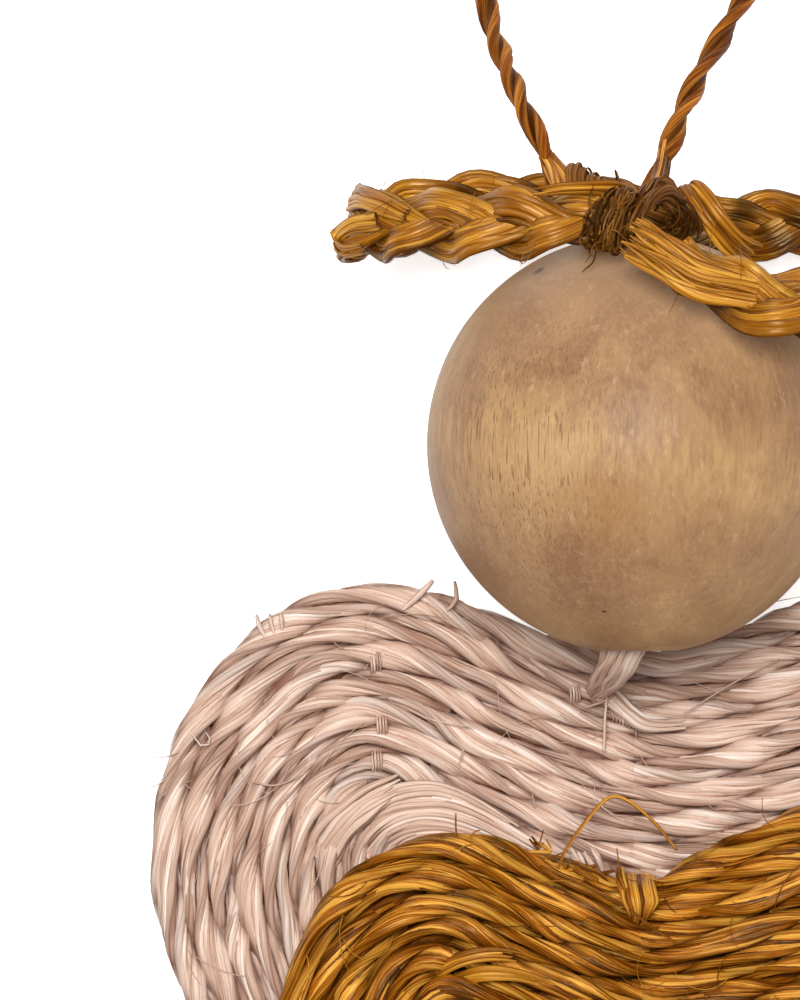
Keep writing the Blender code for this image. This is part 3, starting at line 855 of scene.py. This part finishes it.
def studio():
    """Camera straight above, a plain pale floor and soft light."""
    data = bpy.data.cameras.new("view_from_above")
    data.sensor_width = 36.0
    data.lens = 36.0 * VIEW_DISTANCE / VIEW_HEIGHT
    data.clip_start, data.clip_end = 0.01, 10.0
    camera = bpy.data.objects.new("view_from_above", data)
    camera.location = np.array([*VIEW_CENTRE, HEAD[2] + VIEW_DISTANCE]) * MM
    bpy.context.scene.collection.objects.link(camera)
    bpy.context.scene.camera = camera

    material, tree, shader = new_finish("pale_floor")
    shader.inputs["Base Color"].default_value = (0.93, 0.93, 0.93, 1.0)
    shader.inputs["Roughness"].default_value = 0.9
    shader.inputs["Specular IOR Level"].default_value = 0.1
    shader.inputs["Emission Color"].default_value = (1.0, 1.0, 1.0, 1.0)
    seen = finish_node(tree, "ShaderNodeLightPath").outputs["Is Camera Ray"]
    tree.links.new(scaled(tree, seen, 0.5, 0.12), shader.inputs["Emission Strength"])
    mesh = bpy.data.meshes.new("pale_floor")
    corners = [(x * FLOOR_REACH, y * FLOOR_REACH, FLOOR) for x, y in ((-1, -1), (1, -1), (1, 1), (-1, 1))]
    mesh.from_pydata(corners, [], [(0, 1, 2, 3)])
    finished_piece("pale_floor", mesh, material)

    for name, place, size, power in LAMPS:
        lamp = bpy.data.lights.new(name, "AREA")
        lamp.shape = "DISK"
        lamp.size = size
        lamp.energy = power
        item = bpy.data.objects.new(name, lamp)
        item.location = place
        aim = np.array(LIT_POINT) - np.array(place)
        item.rotation_euler = (math.acos(-aim[2] / np.linalg.norm(aim)), 0.0, math.atan2(aim[0], -aim[1]))
        bpy.context.scene.collection.objects.link(item)
    world = bpy.data.worlds.new("studio_walls")
    world.use_nodes = True
    world.node_tree.nodes["Background"].inputs["Color"].default_value = (1.0, 0.99, 0.98, 1.0)
    world.node_tree.nodes["Background"].inputs["Strength"].default_value = 0.3
    bpy.context.scene.world = world
    bpy.context.scene.view_settings.view_transform = "Standard"


def hanging_loop(finish):
    """The cord: two plies twisted together, each of a few bundles, from one side of the knot to the other."""
    random = np.random.default_rng(SEED)
    curve = catmull_rom(CORD_ROUTE, False, 24) + HEAD
    route = spaced_at(curve, 0.45, False)
    side, up = carried_frames(route)
    share = np.linspace(0.0, 1.0, len(route))
    length = route_length(route)
    skein = Skein()
    turn = 2 * math.pi * length / CORD_TWIST * share + 0.6 * slow_wave(random, length, 26.0, share)
    swell = 1.0 + 0.07 * slow_wave(random, length, 9.0, share)
    for ply in range(2):
        angle = (turn + math.pi * ply)[:, None]
        out = side * np.cos(angle) + up * np.sin(angle)
        round_way = up * np.cos(angle) - side * np.sin(angle)
        middle = route + out * PLY_OFFSET
        for bundle in range(PLY_BUNDLES):
            inner = 2 * math.pi * bundle / PLY_BUNDLES
            inner = inner + 0.35 * slow_wave(random, length, 14.0, share)[:, None]
            outward = out * np.cos(inner) + round_way * np.sin(inner)
            sideways = round_way * np.cos(inner) - out * np.sin(inner)
            place = middle + outward * (PLY_CORE * swell[:, None])
            thick = BUNDLE_RADIUS * swell * (1.0 + 0.15 * slow_wave(random, length, 6.0, share))
            # Painted shade on the bundles that face in, towards the other ply.
            shown = 0.46 + 0.54 * np.cos(inner[:, 0])
            skein.add(place, sideways, outward, thick, thick, open_share=shown)
    piece = worn_by(skein.piece("hanging_loop", finish), "cord_fibre", "hanging_cord")


def bead_head(finish):
    """The bead as a turned profile: its round outside, the rounded mouths of the bore and the bore's wall."""
    bore, rounding = 2.0, 0.5
    arcs, steps = 72, 144
    mouth = math.asin((bore + rounding) / BEAD_RADIUS)
    angle = mouth + (math.pi - 2 * mouth) * np.arange(arcs + 1) / arcs
    outside = np.column_stack([BEAD_RADIUS * np.sin(angle), BEAD_RADIUS * np.cos(angle)])
    end = outside[0, 1]
    turn = np.radians([25.0, 50.0, 75.0])
    lip = np.column_stack([bore + rounding * (1 - np.sin(turn)), end - rounding * (1 - np.cos(turn))])
    wall = [[bore, -end + rounding], [bore, end - rounding]]
    profile = np.vstack([outside, lip * [1, -1], wall, lip[::-1]])
    count = len(profile)
    around = 2 * math.pi * np.arange(steps) / steps
    x, z = np.outer(np.cos(around), profile[:, 0]), np.outer(np.sin(around), profile[:, 0])
    y = np.broadcast_to(profile[:, 1], (steps, count))
    points = np.stack([x, y, z], axis=-1).reshape(-1, 3)
    step, corner = (grid.ravel() for grid in np.meshgrid(np.arange(steps), np.arange(count), indexing="ij"))
    after, here, beyond = (corner + 1) % count, step * count, (step + 1) % steps * count
    faces = np.column_stack([here + corner, here + after, beyond + after, beyond + corner])
    mesh = bpy.data.meshes.new("bead")
    mesh.from_pydata(points * MM, [], faces.tolist())
    item = finished_piece("bead", mesh, finish)
    item.location = HEAD * MM
    worn_by(item, "bead_wood", "bead_head")


def halo(finish, pale, thread):
    """The halo's plait, its brush-like front end, and the thread bound round where it starts."""
    random = np.random.default_rng(SEED + 7)
    whole = spaced_at(catmull_rom(HALO_ROUTE, True, 40), 0.5, True)
    forward = tangents(whole, True)
    away = unit(whole * [1.0, 0.0, 1.0])
    width = np.array([0.0, math.cos(HALO_LEAN), 0.0]) - away * math.sin(HALO_LEAN)
    width = unit(width - forward * (width * forward).sum(axis=1)[:, None])
    normal = np.cross(width, forward)
    normal *= np.sign((normal * away).sum(axis=1))[:, None]
    kept = int(HALO_SHOWN * len(whole))
    share = np.linspace(0.0, 1.0, kept)
    # It is drawn together at both ends, and its end dives in under the brush.
    drawn = 1.0 - 0.3 * np.exp(-((share / 0.035) ** 2)) - 0.25 * np.exp(-(((1.0 - share) / 0.05) ** 2))
    dive = 0.9 * np.exp(-(((1.0 - share) / 0.045) ** 2))
    skein = Skein()
    route = (whole + HEAD)[:kept] - normal[:kept] * dive[:, None]
    plait(skein, route, width[:kept], normal[:kept], HALO_PLAIT, random, drawn, 0.4)
    worn_by(skein.piece("halo_plait", finish), "halo_fibre", "halo_ring")

    skein = Skein()
    brush = [(6.8, 8.9, 12.0), (3.6, 9.6, 12.4), (1.3, 10.9, 12.1), (-0.8, 12.3, 10.8)]
    bunch(skein, brush, 46, (1.9, 2.5), 0.5, 0.26, random, ragged=0.2, flat=(0.35, 1.0, 0.0))
    bunch(skein, brush, 44, (1.6, 2.3), 1.0, 0.22, random, ragged=0.32, flat=(0.35, 1.0, 0.0))
    # The folded corner and the small loop at the ornament's left end of the halo.
    corner = [(-16.9, 14.6, -0.4), (-16.3, 14.6, 1.6), (-15.1, 14.2, 3.3), (-13.7, 13.5, 4.7)]
    bunch(skein, corner, 12, (1.5, 0.8), 0.4, 0.26, random, flat=(0.4, 1.0, 0.0))
    curl = [
        (-15.4, 13.2, 3.7),
        (-17.0, 12.9, 2.2),
        (-17.9, 12.2, 0.9),
        (-17.5, 11.5, 1.6),
        (-16.3, 11.6, 3.1),
    ]
    bunch(skein, curl, 8, (0.9, 0.7), 0.4, 0.22, random, flat=(0.0, 1.0, 0.5))
    worn_by(skein.piece("halo_brush_end", pale), "halo_fibre")

    dark, light = Skein(), Skein()
    for turn in range(30):
        angle = np.linspace(0.0, 2 * math.pi, 33)[:-1]
        tilt = random.normal(0.0, 0.32)
        along = (turn - 14.5) * 0.06 + tilt * np.sin(angle + random.normal(0.0, 0.6))
        along = along + 0.14 * slow_wave(random, 10.0, 3.0, angle / (2 * math.pi))
        reach_width = random.uniform(1.7, 2.1)
        reach_out = random.uniform(0.95, 1.35)
        line = (
            HEAD
            + whole[0]
            + forward[0] * along[:, None]
            + width[0] * (reach_width * np.cos(angle))[:, None]
            + normal[0] * (reach_out * np.sin(angle))[:, None]
        )
        side, up = upright_frames(line, forward[0])
        thick = random.uniform(0.04, 0.13)
        bound = light if turn % 3 == 1 else dark
        # Each turn lies in painted shade of a random depth.
        bound.add(line, up, side, thick, thick, corners=5, closed=True, open_share=random.uniform(0.2, 0.9))
    # Short dark fibres over the binding, each in painted shade of a random depth.
    for _ in range(46):
        begin = within(random, (-3.1, 12.0, 8.7), (-2.2, 13.6, 9.1))
        line = begin + np.cumsum(random.normal(0.0, 0.24, (4, 3)) * [0.6, 1.2, 0.6], axis=0)
        thick = random.uniform(0.06, 0.15)
        fibre(dark, line, thick, corners=5, spacing=0.2, open_share=random.uniform(0.0, 0.9))
    worn_by(dark.piece("halo_thread", thread), "dark_thread", "halo_tie")
    worn_by(light.piece("halo_bound_fibre", finish), "halo_fibre")


def crown(thread, umber, gold, pale):
    """The knot over the bore: folded ends, a bundle that curls round it, dark curls and the cord's feet."""
    random = np.random.default_rng(SEED + 11)
    skein = Skein()
    for order in range(4):
        angle = np.linspace(0.0, 2 * math.pi, 41)[:-1]
        lean = (-0.5, 0.1, 0.55, 1.0)[order]
        loop = np.column_stack([1.3 * np.cos(angle), 1.15 * np.sin(angle), 1.9 * np.sin(angle + lean)])
        loop += np.array([-1.8, 14.1, 1.95]) + HEAD + np.array([0.25, 0.0, 0.3]) * (order - 1.5)
        side, up = upright_frames(loop, (0.0, 0.0, 1.0))
        strand(skein, loop, side, up, 0.9, 0.8, 5, random, True, scale=np.ones(len(loop)))
    worn_by(skein.piece("crown_knot", umber), "dark_thread", "cord_knot")

    skein = Skein()
    for order, shift in enumerate((-3.9, -3.5, -3.0, -2.5, -2.0)):
        line = [
            (shift + 0.4, 13.6, 3.0),
            (shift + 0.1, 15.0, 4.0),
            (shift, 16.0 - 0.12 * order, 3.9),
            (shift + 0.25, 16.6 - 0.32 * order, 3.0),
            (shift + 0.6, 15.8 - 0.3 * order, 1.6),
        ]
        bunch(skein, line, 10, (0.5, 0.7), 0.5, 0.15, random, flat=(1.0, 0.0, 0.3))
    worn_by(skein.piece("crown_folds", umber), "dark_thread")

    skein = Skein()
    line = [(2.4, 14.1, 5.8), (1.5, 14.75, 7.0), (0.5, 14.2, 8.4), (-0.15, 13.2, 9.5), (-0.5, 12.2, 10.1)]
    bunch(skein, line, 30, (1.0, 1.3), 0.7, 0.2, random, ragged=0.2, flat=(0.6, 0.8, 0.0))
    line = [(1.9, 14.2, 4.4), (1.5, 15.2, 5.0), (0.8, 15.3, 5.6), (0.2, 14.6, 6.6)]
    bunch(skein, line, 18, (1.0, 1.2), 0.6, 0.22, random, flat=(0.8, 0.6, 0.0))
    worn_by(skein.piece("crown_bundle", umber), "dark_thread")

    skein = Skein()
    # Dark curls round the knot, each in painted shade of a random depth.
    for _ in range(60):
        turned = random.uniform(-0.6, 1.3)
        angle = turned - random.uniform(0.8, 2.0) * np.linspace(0.0, 1.0, 7)
        size = random.uniform(0.5, 1.9)
        middle = np.array([1.5, 13.1, 6.1]) + random.normal(0.0, 0.3, 3)
        curl = np.column_stack([np.cos(angle), 0.85 * np.sin(angle), 0.4 * np.sin(1.7 * angle)])
        thick = random.uniform(0.08, 0.22)
        fibre(skein, middle + size * curl, thick, corners=5, spacing=0.2, open_share=random.uniform(0.1, 0.9))
    for _ in range(50):
        start = within(random, (-2.6, 11.4, 8.0), (0.2, 14.4, 9.3))
        line = start + np.cumsum(random.normal(0.0, 0.35, (4, 3)), axis=0)
        fibre(skein, line, random.uniform(0.05, 0.11), corners=4, spacing=0.2)
    fibre(skein, [(-1.2, 15.0, 5.0), (-1.25, 15.7, 5.2), (-1.4, 16.2, 5.3)], 0.22, spacing=0.2, tip=0.2)
    worn_by(skein.piece("crown_curls", thread), "dark_thread")

    skein = Skein()
    line = [(-0.5, 14.5, 6.4), (-1.5, 15.0, 7.9), (-4.2, 15.0, 8.9), (-6.0, 14.75, 8.7), (-6.9, 14.85, 8.6)]
    bunch(skein, line, 12, (0.9, 0.5), 0.4, 0.17, random, ragged=0.22, flat=(0.0, 1.0, 0.2))
    line = [
        (2.5, 14.4, 2.0),
        (2.9, 15.2, 3.3),
        (3.7, 14.4, 4.3),
        (4.6, 13.1, 4.6),
        (5.6, 11.9, 4.0),
        (6.7, 11.2, 2.6),
    ]
    bunch(skein, line, 20, (1.0, 1.9), 0.5, 0.22, random, flat=(1.0, 0.6, 0.0))
    worn_by(skein.piece("crown_pale_strand", pale), "halo_fibre")

    skein = Skein()
    line = [(-5.45, 17.3, 0.5), (-5.05, 16.4, 1.7), (-4.7, 15.4, 3.0), (-4.5, 14.2, 4.4)]
    bunch(skein, line, 14, (0.6, 0.9), 0.6, 0.2, random, flat=(1.0, 0.2, 0.0))
    line = [(-5.3, 17.1, 0.9), (-4.65, 16.35, 2.0), (-4.05, 15.5, 3.2), (-3.6, 14.4, 4.6)]
    bunch(skein, line, 12, (0.5, 0.8), 0.5, 0.2, random, flat=(1.0, 0.5, 0.0))
    line = [(1.75, 18.0, 0.1), (1.4, 16.2, 1.9), (0.9, 14.9, 3.8), (0.6, 13.9, 5.4)]
    bunch(skein, line, 16, (0.5, 1.3), 0.6, 0.2, random, flat=(1.0, 0.1, 0.0))
    worn_by(skein.piece("cord_feet", gold), "golden_fibre")


def neck(finish):
    """The bundle through the bead, its wrap down over the wings' notch and the stitches that hold it."""
    random = np.random.default_rng(SEED + 13)
    given = catmull_rom(NECK_ROUTE, False, 24)
    given = evenly_spaced(given, int(route_length(given[:, :3]) / 0.5), False)
    route, radius = given[:, :3] + HEAD, given[:, 3]
    side, up = carried_frames(route)
    share = np.linspace(0.0, 1.0, len(route))
    up = up * (1.0 - 0.55 * np.clip((share - 0.6) / 0.12, 0.0, 1.0))[:, None]
    skein = Skein()
    for order in range(NECK_FIBRES):
        angle = 2.4 * order + 0.2 * share + 0.18 * slow_wave(random, 30.0, 8.0, share)
        out = math.sqrt((order + 0.5) / NECK_FIBRES) * (0.88 + 0.06 * slow_wave(random, 30.0, 5.0, share))
        outward = side * np.cos(angle)[:, None] + up * np.sin(angle)[:, None]
        place = route + outward * (out * radius)[:, None]
        thick = random.uniform(0.12, 0.24) * radius
        skein.add(place, side, unit(up), thick, thick, corners=6)
    worn_by(skein.piece("neck_bundle", finish), "blush_fibre", "neck_tie")

    # Fibres of the wrap where it parts under the wings' first row, its folds, and stitches over the rows.
    skein = Skein()
    parting = ((-2.4, -14.8, -9.9), (-1.3, -15.2, -9.1), (-0.3, -16.1, -8.9))
    line = [*parting, (0.9, -16.8, -9.0), (3.4, -16.8, -9.9)]
    bunch(skein, line, 16, (1.0, 0.7), 0.4, 0.24, random, ragged=0.3, flat=(0.7, 0.7, 0.0))
    # Short fibres down in the hollow of the parting, nearly all in painted shade.
    for _ in range(24):
        begin = within(random, (-2.7, -15.7, -9.35), (-1.7, -15.0, -9.35))
        bend = np.array([[0.0, 0.0, 0.0], [0.25, -0.1, 0.06], [0.5, -0.3, -0.1]]) * random.uniform(0.5, 1.4)
        thick = random.uniform(0.12, 0.2)
        fibre(skein, begin + bend, thick, corners=5, spacing=0.2, open_share=random.uniform(0.0, 0.3))
    fold_line = np.array([[-0.15, 0.35, -9.7], [0.0, 0.15, -9.25], [0.12, -0.15, -9.25], [0.1, -0.4, -9.8]])
    for fold in range(9):
        line = fold_line + [-1.35 + 0.2 * fold, -16.25 - 0.08 * fold, 0.0]
        fibre(skein, line, random.uniform(0.14, 0.24), corners=5, spacing=0.2)
    stitch = np.array([[0.0, 0.6, -9.9], [0.0, 0.3, -9.3], [0.05, -0.3, -9.35], [0.0, -0.65, -9.9]])
    for crossing in ((-15.57, -13.15), (-15.2, -16.96), (-15.5, -19.05), (-3.55, -14.9)):
        for shift in (-0.27, -0.1, 0.08, 0.24):
            line = stitch + [crossing[0] + shift, crossing[1] + random.normal(0.0, 0.08), 0.0]
            fibre(skein, line, 0.15, corners=5, spacing=0.2, tip=0.8)
    fibre(skein, [(-1.6, -14.9, -8.6), (-1.75, -16.4, -8.75), (-1.8, -18.4, -8.9)], 0.2, tip=0.6)
    fibre(skein, [(-1.15, -15.0, -8.6), (-2.0, -15.5, -8.7), (-3.0, -15.8, -9.0)], 0.18, tip=0.6)
    worn_by(skein.piece("wing_stitches", finish), "blush_fibre")


def wing_loose_fibres(finish):
    """Loose fibres and sprung ends on the wings, and strands that sweep over the middle of the left lobe."""
    random = np.random.default_rng(SEED + 17)
    skein = Skein()
    loose_fibres(skein, WING_MAT, 3.05, 150, random)
    for line, thickness in (
        ([(-22.2, -11.6, -9.6), (-22.6, -10.9, -9.4), (-22.75, -10.2, -9.3)], 0.3),
        ([(-21.7, -11.3, -9.5), (-21.9, -10.7, -9.3), (-21.95, -10.15, -9.2)], 0.26),
        ([(-21.2, -11.1, -9.5), (-21.25, -10.5, -9.2), (-21.3, -10.1, -9.2)], 0.28),
        ([(-13.9, -9.9, -9.5), (-12.9, -9.0, -9.1), (-12.1, -8.15, -8.9)], 0.42),
        ([(-11.3, -10.0, -9.4), (-10.7, -9.3, -9.1), (-10.8, -8.2, -8.9)], 0.3),
        ([(-23.1, -20.3, -9.4), (-21.6, -20.5, -9.0), (-20.0, -19.9, -9.2)], 0.12),
        ([(-11.0, -17.7, -9.3), (-10.3, -18.3, -8.9), (-10.6, -19.3, -9.3)], 0.12),
        ([(-26.6, -17.4, -9.4), (-26.1, -18.1, -9.0), (-25.5, -17.9, -9.0), (-25.8, -17.3, -9.3)], 0.12),
        ([(-13.6, -15.9, -9.4), (-12.0, -16.6, -9.1), (-9.6, -17.0, -9.3)], 0.1),
        ([(3.0, -16.2, -9.1), (6.2, -14.2, -8.9), (8.8, -12.9, -9.2)], 0.12),
    ):
        fibre(skein, line, thickness)
    worn_by(skein.piece("wing_loose_fibres", finish), "blush_fibre")

    # Strands that sweep over the middle of the left lobe and run in under the small heart.
    skein = Skein()
    for width, *line in SWEEPING_STRANDS:
        bunch(skein, line, 8, (width, 0.7 * width), 0.4, 0.25, random, ragged=0.25, flat=(0.3, 1.0, 0.0))
    line = [(-19.0, -24.9, -10.3), (-17.7, -22.9, -9.2), (-15.8, -21.3, -8.9), (-13.7, -20.3, -9.2)]
    bunch(skein, line, 10, (1.9, 1.5), 0.3, 0.3, random, ragged=0.12, flat=(0.6, -0.8, 0.0))
    for _ in range(16):
        begin = within(random, (-3.8, -25.3, -8.9), (-2.3, -24.2, -8.9))
        bend = np.array([[0.0, 0.0, 0.0], [0.3, -0.5, 0.25], [0.55, -1.1, 0.1]]) * random.uniform(0.5, 1.2)
        fibre(skein, begin + bend, random.uniform(0.12, 0.28), corners=5, spacing=0.25)
    worn_by(skein.piece("wing_sweeping_strands", finish), "blush_fibre")


def body_trim(finish, pale):
    """The wrap over the small heart's notch, its chopped ends and the fibres that have sprung loose."""
    random = np.random.default_rng(SEED + 19)
    skein = Skein()
    for share in np.arange(8) / 7.0:
        top, bottom = -0.85 + 1.95 * share, -0.35 + 1.15 * share
        line = [
            (top, -25.9, -8.3),
            (top, -26.3, -6.3),
            (top + 0.08, -26.8, -5.25),
            (0.6 * top + 0.4 * bottom + 0.3 * share, -27.4, -4.95),
            (bottom + 0.16 * share, -28.0, -5.15),
            (bottom, -28.5 - 0.25 * math.sin(math.pi * share), -6.2),
        ]
        bunch(skein, line, 1, (0.1, 0.06), 0.16, 0.25, random, flat=(1.0, 0.0, 0.0))
    for line in (
        [(-0.95, -25.5, -6.4), (-0.9, -25.9, -5.7), (-0.8, -26.4, -5.4), (-0.5, -27.2, -5.3)],
        [(-3.7, -25.2, -6.4), (-3.1, -25.5, -5.5), (-2.2, -25.9, -5.4), (-1.5, -26.4, -5.9)],
        [(-2.9, -25.9, -6.2), (-2.2, -26.3, -5.4), (-1.5, -26.5, -5.3), (-1.0, -26.6, -5.8)],
    ):
        bunch(skein, line, 6, (0.5, 0.4), 0.3, 0.17, random, flat=(0.6, 0.8, 0.0))
    worn_by(skein.piece("body_notch_wrap", finish), "golden_fibre", "body_tie")

    skein = Skein()
    loose_fibres(skein, BODY_MAT, 6.75, 110, random)
    # Chopped ends along the edge beside the notch, the first few of them in a fine upright tuft.
    for order in range(26):
        share = random.random()
        start = np.array([-6.6 + 4.6 * share, -24.4 - 1.8 * share, -6.3]) + random.normal(0.0, 0.16, 3)
        way = np.array([random.normal(0.8, 0.35), random.normal(-0.1, 0.35), random.uniform(0.1, 0.4)])
        tuft = order < 8
        if tuft:
            start = within(random, (-6.1, -24.3, -6.3), (-4.9, -23.9, -6.3))
            way = np.array([random.normal(-0.05, 0.25), random.normal(0.65, 0.2), 0.25])
        line = [start - 0.5 * way, start, start + 0.45 * way, start + random.uniform(0.7, 1.1) * way]
        thick = random.uniform(0.1, 0.18 if tuft else 0.34)
        fibre(skein, line, thick, corners=5, spacing=0.25, tip=0.4)
    sprung_loop = (
        (-4.6, -25.4, -5.9),
        (-4.1, -24.2, -5.7),
        (-2.6, -22.2, -6.6),
        (-1.4, -21.15, -7.4),
        (-0.2, -21.5, -7.6),
        (1.3, -22.8, -7.4),
        (2.5, -24.3, -6.2),
    )
    for thickness, *line in (
        (0.12, (-10.7, -23.5, -6.0), (-10.75, -22.8, -5.6), (-10.75, -22.1, -5.5)),
        (0.12, (-9.9, -23.6, -6.0), (-9.6, -23.2, -5.7), (-9.3, -23.1, -5.6)),
        (0.24, *sprung_loop),
        (0.2, (-5.7, -25.2, -5.6), (-1.4, -27.2, -5.1), (0.9, -28.8, -4.9), (2.5, -29.9, -5.6)),
        (0.1, (-1.1, -24.2, -6.0), (-1.0, -25.0, -5.4), (-0.95, -25.7, -5.2)),
    ):
        fibre(skein, line, thickness, corners=5, spacing=0.3, tip=0.6)
    worn_by(skein.piece("body_loose_fibres", finish), "golden_fibre")

    # Paler strands that lie over the middle of the small heart's left lobe.
    skein = Skein()
    for line in (
        [(-12.2, -31.9, -7.4), (-10.6, -30.9, -5.9), (-8.4, -30.5, -5.65), (-6.2, -30.9, -5.9)],
        [(-10.9, -32.3, -7.4), (-9.2, -31.7, -5.9), (-6.8, -31.9, -5.7), (-4.6, -32.6, -6.1)],
    ):
        bunch(skein, line, 5, (0.8, 0.6), 0.25, 0.24, random, ragged=0.25, flat=(0.0, 1.0, 0.0))
    worn_by(skein.piece("body_pale_strands", pale), "golden_fibre")


def halo_loose_fibres(finish):
    """Fine fibres that stand out of the halo's plait, and a few longer ones that hang from its front."""
    random = np.random.default_rng(SEED + 23)
    skein = Skein()
    route = spaced_at(catmull_rom(HALO_ROUTE, True, 40), 1.0, True)
    for _ in range(70):
        start = random.integers(len(route))
        away = unit(route[start] * [1.0, 0.0, 1.0])
        forward = unit(route[(start + 1) % len(route)] - route[start])
        begin = route[start] + away * 0.95 + [0.0, random.uniform(-1.9, 1.9), 0.0]
        way = forward * random.normal(0.0, 1.0) + [0.0, random.normal(0.0, 0.5), 0.0] + away * 0.2
        way = unit(way) * random.uniform(0.7, 2.2)
        line = [begin, begin + 0.5 * way + 0.12 * away, begin + way + random.normal(0.0, 0.15, 3)]
        fibre(skein, line, random.uniform(0.05, 0.09), corners=3, spacing=0.4)
    for line in (
        [(-6.4, 11.9, 8.6), (-6.9, 11.0, 8.5), (-7.0, 10.4, 8.0)],
        [(-6.6, 11.8, 8.6), (-7.3, 11.2, 8.4), (-7.6, 10.9, 7.9)],
        [(-6.2, 11.8, 8.6), (-6.5, 11.0, 8.6), (-6.9, 10.6, 8.3), (-7.2, 10.9, 8.1)],
        [(-11.6, 10.9, 6.4), (-11.5, 10.5, 6.5), (-11.2, 10.3, 6.6)],
    ):
        fibre(skein, line, 0.08, corners=3, spacing=0.25)
    worn_by(skein.piece("halo_loose_fibres", finish), "halo_fibre")


# Fibre finishes: tones from dark to pale, the painted shade between bundles, low and high roughness, and the
# rest.
FIBRE_FINISHES = {
    "blush": (
        "blush_fibre",
        [
            (0.16, (0.40, 0.22, 0.15)),
            (0.38, (0.64, 0.418, 0.308)),
            (0.57, (0.815, 0.592, 0.466)),
            (0.78, (0.98, 0.85, 0.745)),
        ],
        (0.15, 0.045, 0.025),
        (0.26, 0.42),
        {"contrast": 1.05, "gloss": 0.65},
    ),
    "gold": (
        "golden_fibre",
        [
            (0.16, (0.075, 0.018, 0.0010)),
            (0.36, (0.25, 0.068, 0.0025)),
            (0.55, (0.53, 0.167, 0.008)),
            (0.78, (0.88, 0.43, 0.060)),
        ],
        (0.02, 0.005, 0.0005),
        (0.15, 0.32),
        {"contrast": 1.9, "gloss": 0.75, "relief": 0.7, "tint": HIGHLIGHT},
    ),
    "halo": (
        "halo_fibre",
        [
            (0.16, (0.085, 0.022, 0.001)),
            (0.36, (0.24, 0.072, 0.003)),
            (0.55, (0.42, 0.145, 0.006)),
            (0.78, (0.76, 0.375, 0.038)),
        ],
        (0.02, 0.005, 0.0005),
        (0.18, 0.34),
        {"contrast": 1.05, "gloss": 0.9, "relief": 0.4, "tint": HIGHLIGHT},
    ),
    "brush": (
        "pale_golden_fibre",
        [
            (0.16, (0.11, 0.028, 0.0015)),
            (0.36, (0.29, 0.092, 0.004)),
            (0.55, (0.50, 0.19, 0.011)),
            (0.78, (0.82, 0.43, 0.055)),
        ],
        (0.04, 0.011, 0.001),
        (0.18, 0.34),
        {"contrast": 1.0, "gloss": 0.9, "relief": 0.4, "tint": HIGHLIGHT},
    ),
    "cord": (
        "cord_fibre",
        [
            (0.16, (0.040, 0.009, 0.0006)),
            (0.36, (0.13, 0.029, 0.0015)),
            (0.55, (0.27, 0.070, 0.005)),
            (0.78, (0.64, 0.240, 0.032)),
        ],
        (0.02, 0.005, 0.0003),
        (0.3, 0.45),
        {"contrast": 1.2, "gloss": 0.15, "relief": 0.6, "tint": HIGHLIGHT},
    ),
    "umber": (
        "umber_fibre",
        [(0.20, (0.040, 0.012, 0.004)), (0.48, (0.20, 0.074, 0.017)), (0.80, (0.46, 0.205, 0.060))],
        (0.02, 0.007, 0.002),
        (0.3, 0.45),
        {"gloss": 0.15, "tint": HIGHLIGHT},
    ),
    "thread": (
        "dark_thread",
        [(0.20, (0.020, 0.006, 0.002)), (0.48, (0.10, 0.034, 0.006)), (0.80, (0.42, 0.18, 0.035))],
        (0.012, 0.004, 0.001),
        (0.3, 0.45),
        {"gloss": 0.15, "tint": HIGHLIGHT},
    ),
}


def main():
    studio()
    fibre_lines_group()
    looks = {key: fibre_finish(*values, **more) for key, (*values, more) in FIBRE_FINISHES.items()}
    hanging_loop(looks["cord"])
    bead_head(wood_finish("bead_wood"))
    random = np.random.default_rng(SEED + 1)
    for mat, name, look, slot, node in (
        (WING_MAT, "wing_rows", looks["blush"], "blush_fibre", "wing_heart"),
        (BODY_MAT, "body_rows", looks["gold"], "golden_fibre", "body_heart"),
    ):
        for start in range(0, mat["rows"], 2):
            rows = mat_rows(mat, range(start, min(start + 2, mat["rows"])), random)
            worn_by(rows.piece(f"{name}_{start // 2 + 1}", look), slot, node)
    # Thin dark slabs under the rows: painted shade seen through the gaps between strands.
    shade = shaded_finish("wing_shade", (0.16, 0.065, 0.04))
    worn_by(painted_shade_slab("wing_painted_shade_slab", WING_MAT, 1.5, 1.8, 0.9, shade), "blush_fibre")
    shade = shaded_finish("body_shade", (0.03, 0.011, 0.003))
    worn_by(painted_shade_slab("body_painted_shade_slab", BODY_MAT, 5.15, 5.4, 0.9, shade), "golden_fibre")
    halo(looks["halo"], looks["brush"], looks["thread"])
    crown(looks["thread"], looks["umber"], looks["gold"], looks["halo"])
    neck(looks["blush"])
    wing_loose_fibres(looks["blush"])
    body_trim(looks["gold"], looks["brush"])
    halo_loose_fibres(looks["halo"])


main()
